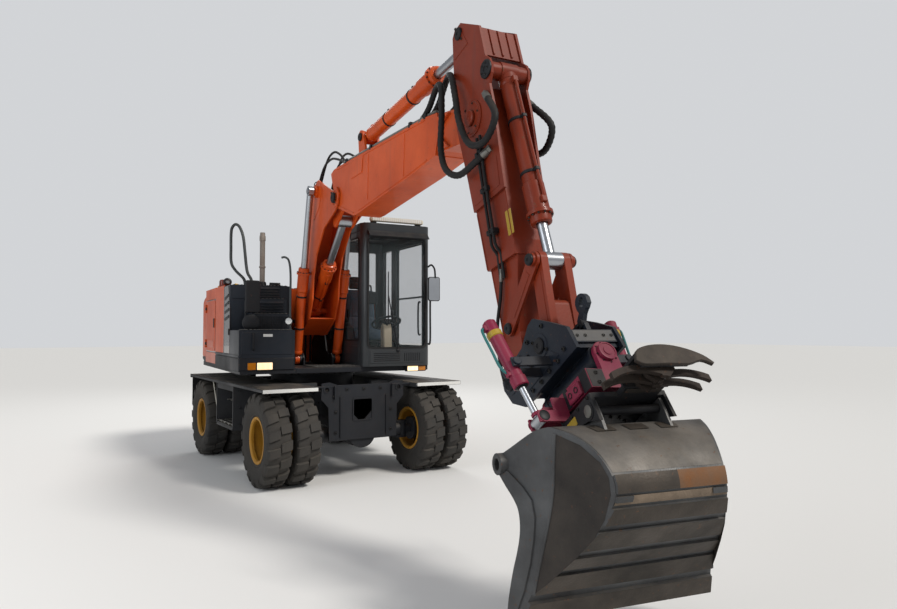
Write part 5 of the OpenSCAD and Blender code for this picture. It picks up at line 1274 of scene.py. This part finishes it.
LINK = Shape(BOOM)
SIDE_PIN = ar(1.655, 0.017)
for p, y, r in ((SIDE_PIN, 0.147, 0.04), (KNEE, 0.169, 0.04)):
    pin_cap(LINK, p, y, r, "black")
for s in (-1.0, 1.0):
    d = (KNEE - SIDE_PIN).normalized()
    nrm = Vector((-d.y, d.x))
    LINK.plate([SIDE_PIN + d * 0.1 - nrm * 0.022, KNEE - d * 0.1 - nrm * 0.022, KNEE - d * 0.1 + nrm * 0.022,
                SIDE_PIN + d * 0.1 + nrm * 0.022], s * 0.1465, s * 0.1505, "arm", bevel=0.0015)
LINK.make("side_link_fittings", "side_links")
HLINK = Shape(BOOM)
d = (LINK_PIN - KNEE).normalized()
nrm = Vector((-d.y, d.x))
for s in (-1.0, 1.0):
    HLINK.plate([KNEE + d * 0.09 - nrm * 0.03, LINK_PIN - d * 0.09 - nrm * 0.03,
                 LINK_PIN - d * 0.09 + nrm * 0.03, KNEE + d * 0.09 + nrm * 0.03], s * 0.1195, s * 0.1235,
                "arm", bevel=0.0015)
HLINK.make("bucket_link_fittings", "bucket_link")

# Hoses at the joints
DECK = Shape(BOOM)
COUP = Shape(COUPLER)
for i, y in enumerate((-0.12, -0.08, 0.08, 0.12)):
    k = i % 2
    route = [in_boom(b1(1.54, 0.715), y), in_boom(b1(1.66, 0.79 + 0.02 * k), y * 0.95),
             (1.05, y * 0.85, 3.80 + 0.07 * k), (1.32, y * 0.8, 3.86 + 0.09 * k),
             (1.6, y * 0.9, 3.8 + 0.06 * k), in_boom(b2(0.08, 0.42), y), in_boom(b2(0.2, 0.374), y * 1.08)]
    hose(f"boom_hose_{i + 1}", route, 0.014, LOW, TOP)
for i, y in enumerate((-0.11, -0.04, 0.04, 0.11)):
    route = [(-0.22, y, 1.315), (-0.22, y, 1.45), (-0.2, y, 1.65), (-0.2, y, 1.85), (-0.16, y * 0.95, 2.02),
             (-0.05, y * 0.95, 2.12), in_boom(b1(0.262, 0.293), y)]
    hose(f"foot_hose_{i + 1}", route, 0.014, DECK, LOW)
for side, s in (("right", 1.0), ("left", -1.0)):
    route = spots(b2, ((2.3, 0.285, -0.13), (2.42, 0.34, -0.135), (2.62, 0.43, -0.17), (2.84, 0.36, -0.24),
                       (2.9, 0.12, -0.265), (2.89, -0.15, -0.27), (2.97, -0.34, -0.27), (3.16, -0.43, -0.26),
                       (3.34, -0.375, -0.225)), s)
    route += spots(ar, ((0.37, 0.11, -0.195),), s)
    hose(f"arm_hose_{side}_low", route, 0.024, TOP, ARM, ribs=0.003)
    route = spots(b2, ((2.34, 0.285, -0.075), (2.5, 0.35, -0.085), (2.75, 0.46, -0.14), (2.98, 0.4, -0.22),
                       (3.12, 0.18, -0.26), (3.2, -0.04, -0.27), (3.35, -0.24, -0.27), (3.55, -0.27, -0.26),
                       (3.66, -0.12, -0.24)), s)
    route += spots(ar, ((0.0, 0.275, -0.193),), s)
    hose(f"arm_hose_{side}_high", route, 0.024, TOP, ARM, ribs=0.003)
for i, s in enumerate((-1.0, 1.0)):
    route = spots(ar, ((1.3, 0.01, 0.143), (1.42, -0.03, 0.146), (1.6, -0.115, 0.15), (1.8, -0.15, 0.15),
                       (1.98, -0.14, 0.146), (2.12, -0.07, 0.143)), s)
    route += [in_boom(TIP + polar(0.01, COUPLER_DEG) + polar(-0.165, COUPLER_DEG + 90.0), s * 0.14),
              in_boom(TIP + polar(0.118, COUPLER_DEG) + polar(-0.187, COUPLER_DEG + 90.0), s * 0.135)]
    hose(f"tool_hose_{i + 1}", route, 0.0125, ARM, COUP)
LOW.make("lower_boom_fittings", "lower_boom", slot="boom_orange")
TOP.make("upper_boom_fittings", "upper_boom", slot="boom_orange")
ARM.make("arm_fittings", "arm")
BCYL.make("bucket_cylinder_fittings", "bucket_cylinder_barrel")
DECK.make("deck_hose_ends", "superstructure")

# Coupler, tilt cylinders, rotator and gripper
for x in (0.0, COUPLER_PITCH):
    pin_cap(COUP, Vector((x, 0.0)), 0.19, 0.052, "black", at=COUPLER, lock=True)
    for s in (-1.0, 1.0):
        ring = facing((x, s * 0.19, 0.0), (0, s, 0), COUPLER)
        COUP.lathe([(0.054, 0.0), (0.054, 0.006), (0.078, 0.006), (0.083, 0.0)], "coupler", ring, 36)
for s in (-1.0, 1.0):
    for x, z in ((0.09, -0.16), (0.2, -0.185), (0.31, -0.19), (0.42, -0.185), (0.53, -0.185), (0.62, -0.16),
                 (0.2, 0.07), (0.33, 0.1), (0.52, 0.09), (0.28, -0.05), (0.28, 0.02), (0.14, -0.1)):
        COUP.bolt((x, s * 0.19, z), (0, s, 0), 0.012, 0.014, "bolt")
    COUP.plate([(0.16, -0.16), (0.56, -0.16), (0.5, -0.085), (0.22, -0.085)], s * 0.1895, s * 0.1945,
               "coupler", bevel=0.0015)
    # Trunnion caps on the forks
    for x, d in ((0.326, -1), (0.474, 1)):
        trunnion = facing((x, s * 0.44, -0.137), (d, 0, 0), COUPLER)
        COUP.lathe([(0.019, 0.0), (0.028, 0.0), (0.028, 0.006), (0.024, 0.009), (0.0, 0.009)], "coupler",
                   trunnion, 24)
# The cross box: its mouth's rim, grey inside wall and strap bolts
COUP.box((0.609, -0.166, -0.151), (0.6115, 0.166, -0.071), "grey", 0.001)
COUP.box((0.69, -0.166, -0.151), (0.6935, 0.166, -0.071), "grey", 0.001)
COUP.box((0.61, -0.166, -0.1515), (0.692, 0.166, -0.149), "grey", 0.001)
COUP.box((0.7055, -0.15, -0.165), (0.7085, 0.15, -0.085), "grey", 0.001)
for y in (-0.13, -0.07, 0.07, 0.13):
    COUP.bolt((0.7085, y, -0.125), (1, 0, 0), 0.009, 0.009, "bolt")
COUP.box((0.6, -0.036, -0.04), (0.7, -0.0305, 0.004), "black", 0.002)
COUP.tube([(0.655, -0.05, -0.015), (0.655, 0.026, -0.015)], 0.012, "black", 12)
# Valve block and pipes between the plates
COUP.box((0.2, -0.12, -0.1705), (0.36, 0.12, -0.08), "black", 0.008)
for k in range(5):
    COUP.lathe([(0.014, 0.0), (0.014, 0.02), (0.01, 0.022), (0.01, 0.04)], "steel",
               facing((0.22 + 0.03 * k, 0.04 * (-1) ** k, -0.08), (0, 0, 1), COUPLER), 12)
for x in (0.13, 0.66):
    COUP.lathe([(0.085, x - ROTOR_X), (0.093, x - ROTOR_X + 0.005), (0.093, x - ROTOR_X + 0.025),
                (0.085, x - ROTOR_X + 0.03)], "coupler", COUPLER @ shift(ROTOR_X, 0.0, TILT_Z) @ turn_y(90.0),
               36)
COUP.make("coupler_fittings", "coupler")


def tilt_line(s):
    """Frame of a tilt cylinder, Z up along the barrel from its trunnion, and its length to the rod's eye."""
    t = math.radians(TILT_DEG)
    y = s * 0.379 * math.cos(t) + 0.27 * math.sin(t) - s * 0.44
    z = s * 0.379 * math.sin(t) - 0.27 * math.cos(t) - 0.13
    m = COUPLER @ shift(ROTOR_X, s * 0.44, -0.137) @ Matrix.Rotation(math.atan2(y, -z), 4, "X")
    return m, math.hypot(y, z)


for s, name in ((-1.0, "right"), (1.0, "left")):
    m, length = tilt_line(s)
    tb = Shape(m)
    tb.lathe([(0.0445, 0.225), (0.05, 0.23), (0.05, 0.262), (0.0445, 0.267)], "yellow", m, 32)
    tb.lathe([(0.0445, -0.14), (0.051, -0.135), (0.051, -0.08), (0.0445, -0.074)], "magenta", m, 32)
    tb.lathe([(0.024, -0.15), (0.024, -0.142), (0.042, -0.1405)], "black", m, 28)
    tb.lathe([(0.042, 0.338), (0.03, 0.352), (0.0, 0.354)], "magenta", m, 32)
    for z in (-0.04, 0.3):
        tb.box((-0.018, s * 0.038, z - 0.02), (0.018, s * 0.06, z + 0.02), "magenta", 0.003)
    run = bent([(0.0, s * 0.055, 0.3), (0.0, s * 0.078, 0.28), (0.0, s * 0.08, 0.12), (0.0, s * 0.08, 0.02),
                (0.0, s * 0.055, -0.035)])
    tb.tube(run, 0.009, "teal", 10)
    tb.make(f"tilt_barrel_{name}_fittings", f"tilt_barrel_{name}")
    rod = Shape(m)
    rod.lathe([(0.022, 0.03 - length), (0.03, 0.034 - length), (0.03, 0.05 - length),
               (0.022, 0.056 - length)], "magenta", m, 28)
    rod.make(f"tilt_rod_{name}_collar", f"tilt_rod_{name}")

# Dark skins over the rotator's casing; its boss, ears and side block keep their colour
ROT = Shape(TILT)
ROT.box((0.074, -0.196, -0.1205), (0.726, 0.196, -0.1165), "black", 0.001)
for x0, x1 in ((0.074, 0.333), (0.467, 0.512), (0.653, 0.726)):
    for s in (-1.0, 1.0):
        ROT.box((x0, s * 0.1995, -0.243), (x1, s * 0.2035, -0.122), "black", 0.001)
for s in (-1.0, 1.0):
    ROT.box((0.515, s * 0.1995, -0.24), (0.65, s * 0.224, -0.15), "magenta", 0.006)
    for x in (0.55, 0.615):
        port = facing((x, s * 0.224, -0.195), (0, s, 0), TILT)
        ROT.lathe([(0.019, -0.001), (0.019, 0.004), (0.014, 0.004), (0.014, -0.014), (0.0, -0.014)], "black",
                  port, 20)
    ROT.box((0.7295, s * 0.085, -0.242), (0.7325, s * 0.196, -0.123), "black", 0.001)
    for z in (-0.15, -0.215):
        ROT.bolt((0.7325, s * 0.14, z), (1, 0, 0), 0.01, 0.01, "bolt")
    # Pins of the tilt rods' ears
    for x, d in ((0.337, -1), (0.463, 1)):
        eye = facing((x, s * 0.379, -0.27), (d, 0, 0), TILT)
        ROT.lathe([(0.034, 0.0), (0.034, 0.006), (0.024, 0.01), (0.0, 0.01)], "black", eye, 28)
        ROT.lathe([(0.03, 0.0), (0.04, 0.0), (0.04, 0.003), (0.03, 0.003)], "magenta", eye, 28)
boss = TILT @ turn_y(90.0)
ROT.lathe([(0.0605, 0.752), (0.0605, 0.754), (0.05, 0.756), (0.05, 0.748), (0.03, 0.748), (0.03, 0.757),
           (0.0, 0.757)], "magenta", boss, 36)
ROT.lathe([(0.0785, 0.7), (0.083, 0.703), (0.083, 0.726), (0.0785, 0.729)], "magenta", boss, 36)
bolt_circle(ROT, 8, 0.069, 0.73, 0.005, 0.006, boss, 10.0)
ROT.lathe([(0.189, -0.2495), (0.2, -0.2475), (0.2, -0.246), (0.19, -0.2455)], "black",
          TILT @ shift(ROTOR_X, 0, 0), 48)
ROT.make("rotator_skins", "rotor_housing")

LOWER = Shape(ROTOR)
LOWER.lathe([(0.1885, -0.262), (0.194, -0.264), (0.194, -0.3), (0.1885, -0.302)], "black", ROTOR, 48)
bolt_circle(LOWER, 16, 0.176, -0.345, 0.009, 0.01, ROTOR, up=-1)
for x, z in ((-0.125, -0.385), (0.335, -0.395)):
    for s in (-1.0, 1.0):
        cap = facing((x, s * 0.25, z), (0, s, 0), ROTOR)
        LOWER.lathe([(0.036, -0.001), (0.036, 0.006), (0.026, 0.01), (0.0, 0.01)], "steel", cap, 28)
        LOWER.lathe([(0.038, 0.0), (0.05, 0.0), (0.05, 0.003), (0.038, 0.003)], "black", cap, 28)
for s in (-1.0, 1.0):
    LOWER.plate(rounded(0.02, -0.395, 0.2, -0.345, 0.006), s * 0.2495, s * 0.2515, "yellow")
    for x in (-0.16, -0.05, 0.05, 0.17, 0.25, 0.37):
        LOWER.bolt((x, s * 0.25, -0.332), (0, s, 0), 0.008, 0.009, "bolt")
# Gripper's cassette: dark cover, hinge caps and the arched bar on its side
LOWER.box((0.478, -0.086, -0.2565), (0.698, 0.206, -0.2525), "tine_dark", 0.001)
for y in (-0.03, 0.15):
    LOWER.box((0.5, y - 0.016, -0.2535), (0.68, y + 0.016, -0.246), "tine_dark", 0.003)
for y in (0.015, 0.105):
    LOWER.lathe([(0.03, 0.0), (0.03, 0.006), (0.02, 0.01), (0.0, 0.01)], "tine_dark",
                facing((0.4795, y, -0.297), (-1, 0, 0), ROTOR), 24)
arch = bent([(-0.13, -0.325), (-0.1, -0.262), (-0.03, -0.232), (0.06, -0.222), (0.15, -0.23), (0.24, -0.256),
             (0.32, -0.296), (0.37, -0.345)], 4)
lower_arch = bent([(0.355, -0.358), (0.29, -0.33), (0.2, -0.352), (0.06, -0.348), (-0.08, -0.35),
                   (-0.13, -0.325)], 3)
LOWER.plate([Vector(p) for p in arch + lower_arch[:-1]], -0.718, -0.694, "tine_dark", ROTOR @ turn_z(90.0),
            0.004)
LOWER.box((0.44, -0.06, -0.352), (0.476, 0.18, -0.3455), "tine_dark", 0.002)
LOWER.make("rotor_fittings", "rotor")

for s, name in ((1.0, "left"), (-1.0, "right")):
    jaw = Shape(ROTOR)
    for x in ((0.55, 0.64) if s > 0 else (0.505, 0.595)):
        for dx in (-0.0008, 0.0262):
            ring = facing((x + dx, 0.06 + s * 0.045, -0.297), (1.0 if dx > 0 else -1.0, 0, 0), ROTOR)
            jaw.lathe([(0.029, 0.0), (0.034, 0.0), (0.034, 0.0015), (0.029, 0.0015)], "tine", ring, 24)
    jaw.tube([(0.498, 0.06 + s * 0.045, -0.297 + 0.0285), (0.678, 0.06 + s * 0.045, -0.297 + 0.0285)], 0.004,
             "tine", 6)
    jaw.make(f"jaw_{name}_hub", f"jaw_{name}")

# Bucket: rings round its lifting eyes
B = Shape(BUCKET)


def side_at(x, z):
    """Half the bucket's width at a point of its tapering side."""
    c = math.radians(9.75)
    return 0.6575 - 0.496 * (x * math.cos(c) + z * math.sin(c) + 0.355)


EYE = (-0.312, -0.274)
for s in (-1.0, 1.0):
    y = side_at(*EYE) + 0.014
    ring = facing((EYE[0], s * y, EYE[1]), (0, s, 0), BUCKET)
    B.lathe([(0.033, -0.03), (0.033, 0.0), (0.037, 0.004), (0.054, 0.004), (0.0595, -0.001)], "bucket", ring,
            40)
# Muddy field of each side, with the edge of the plate in front of it
FIELD = ((0.012, -0.234), (0.017, -0.387), (-0.001, -0.568), (-0.033, -0.778), (-0.052, -0.91),
         (0.031, -0.825), (0.156, -0.683), (0.246, -0.566), (0.294, -0.46), (0.316, -0.336), (0.301, -0.255),
         (0.253, -0.189), (0.145, -0.116), (0.006, -0.075))
for s in (-1.0, 1.0):
    B.raw([(x, s * (side_at(x, z) + 0.0016), z) for x, z in FIELD], [tuple(range(len(FIELD)))], "side_dark")
    edge = bent([Vector((x, s * (side_at(x, z) + 0.001), z)) for x, z in (FIELD[-1],) + FIELD[:5]], 3)
    B.tube(edge, 0.009, "bucket", 8)
# Skins over the back and its wear strips, so that each shows its own wear
BACK = [Vector(p) * MM for p in ((-235, -165), (-125, -79), (-50, -48), (-12, -46), (85, -66), (171, -103),
                                 (236, -150), (289, -206), (322, -258), (337, -314), (333, -370), (308, -434),
                                 (271, -503), (202, -590), (120, -680), (28, -764), (-20, -836), (-63, -908),
                                 (-92, -975), (-135, -1070))]
line = bent(BACK, 4)
run = [0.0]
for p, q in zip(line, line[1:]):
    run.append(run[-1] + (q - p).length)


def skin(s0, s1, lift, ends, mat, rough=0.0, seed=1, y0=-1.0, y1=1.0):
    """Thin skin along part of the back line, lift off it, over the share y0 to y1 of its width."""
    rng = random.Random(seed)
    picks = [i for i, r in enumerate(run) if s0 <= r <= s1]
    cols = 14
    verts = []
    for n, i in enumerate(picks):
        d = (line[min(i + 1, len(line) - 1)] - line[max(i - 1, 0)]).normalized()
        out = Vector((-d.y, d.x))
        rim = n in (0, len(picks) - 1)
        half = side_at(line[i].x, line[i].y) - ends
        for c in range(cols + 1):
            h = lift + (0.0 if rim or c in (0, cols) else rough * rng.random())
            p = line[i] + out * h
            verts.append((p.x, half * (y0 + (y1 - y0) * c / cols), p.y))
    w = cols + 1
    faces = [(r * w + c, r * w + c + 1, (r + 1) * w + c + 1, (r + 1) * w + c)
             for r in range(len(picks) - 1) for c in range(cols)]
    B.raw(verts, faces, mat)


skin(0.24, 0.65, 0.0012, 0.012, "worn")
for y0, y1 in ((-0.62, -0.34), (-0.16, 0.12), (0.3, 0.56)):
    skin(0.26, 0.36, 0.006, 0.0, "strip", y0=y0, y1=y1)
STRIPS = ((0.654, 0.746, 0.012), (0.805, 0.93, 0.014), (0.958, 1.112, 0.014), (1.14, 1.296, 0.014),
          (1.322, 1.48, 0.014), (1.506, 1.64, 0.02))
for k, (s0, s1, t) in enumerate(STRIPS):
    if k == 0:
        skin(s0, s1, t + 0.0012, 0.006, "strip", y1=0.1)
        skin(s0, s1, t + 0.0012, 0.006, "rusty", y0=0.1)
    else:
        skin(s0, s1, t + 0.0012, 0.006, "strip")
        skin(STRIPS[k - 1][1] + 0.002, s0 - 0.002, 0.0035, 0.004, "mud", 0.006, k)
B.make("bucket_skins", "rotor", 0.8)

# Stage, lights and camera
bpy.ops.mesh.primitive_plane_add(size=160.0, location=(0.0, 0.0, 0.0))
floor = bpy.context.object
floor.name = "studio_floor"
floor_material, floor_nodes, _ = new_material("floor_pale")
floor_nodes["Principled BSDF"].inputs["Base Color"].default_value = (0.78, 0.78, 0.77, 1.0)
floor_nodes["Principled BSDF"].inputs["Roughness"].default_value = 0.9
floor.data.materials.append(floor_material)

scene = bpy.context.scene
world = bpy.data.worlds.new("studio_world")
scene.world = world
world.use_nodes = True
wn = world.node_tree.nodes
wl = world.node_tree.links
background = wn["Background"]
rays = wn.new("ShaderNodeLightPath")
seen = wn.new("ShaderNodeMath")
seen.operation = "MAXIMUM"
wl.new(rays.outputs["Is Camera Ray"], seen.inputs[0])
wl.new(rays.outputs["Is Transmission Ray"], seen.inputs[1])
strength = wn.new("ShaderNodeMapRange")
strength.inputs["To Min"].default_value = 0.4
strength.inputs["To Max"].default_value = 0.68
wl.new(seen.outputs[0], strength.inputs["Value"])
background.inputs["Color"].default_value = (0.95, 0.97, 1.0, 1.0)
wl.new(strength.outputs["Result"], background.inputs["Strength"])


def area_light(name, at, to, size, power, colour):
    data = bpy.data.lights.new(name, "AREA")
    data.shape = "DISK"
    data.size = size
    data.energy = power
    data.color = colour
    o = bpy.data.objects.new(name, data)
    o.location = at
    o.rotation_euler = (Vector(to) - Vector(at)).to_track_quat("-Z", "Y").to_euler()
    COLL.objects.link(o)


sun_data = bpy.data.lights.new("key_light", "SUN")
sun_data.energy = 2.3
sun_data.angle = math.radians(14.0)
sun_data.color = (1.0, 0.96, 0.9)
sun = bpy.data.objects.new("key_light", sun_data)
sun.rotation_euler = Vector((-7.0, -3.4, -7.5)).to_track_quat("-Z", "Y").to_euler()
COLL.objects.link(sun)
area_light("fill_light", (5.0, -10.0, 5.0), (1.5, 0.0, 1.5), 6.0, 260.0, (0.93, 0.96, 1.0))
area_light("back_light", (-8.0, 4.0, 8.0), (0.0, 0.0, 1.5), 6.0, 250.0, (1.0, 1.0, 1.0))

FOCAL_PX, PHOTO_W = 688.803, 897.0
CAMERA_AT = (9.15403, -3.617536, 1.740379)
YAW, PITCH, ROLL = 2.57053, 0.039399, -0.000986
camera_data = bpy.data.cameras.new("photo_camera")
camera_data.sensor_width = 36.0
camera_data.lens = camera_data.sensor_width * FOCAL_PX / PHOTO_W
camera_data.clip_end = 200.0
camera = bpy.data.objects.new("photo_camera", camera_data)
COLL.objects.link(camera)
look = Vector((math.cos(PITCH) * math.cos(YAW), math.cos(PITCH) * math.sin(YAW), math.sin(PITCH)))
turn = look.to_track_quat("-Z", "Y").to_matrix() @ Matrix.Rotation(ROLL, 3, "Z")
camera.matrix_world = Matrix.Translation(CAMERA_AT) @ turn.to_4x4()
scene.camera = camera
scene.view_settings.view_transform = "Standard"
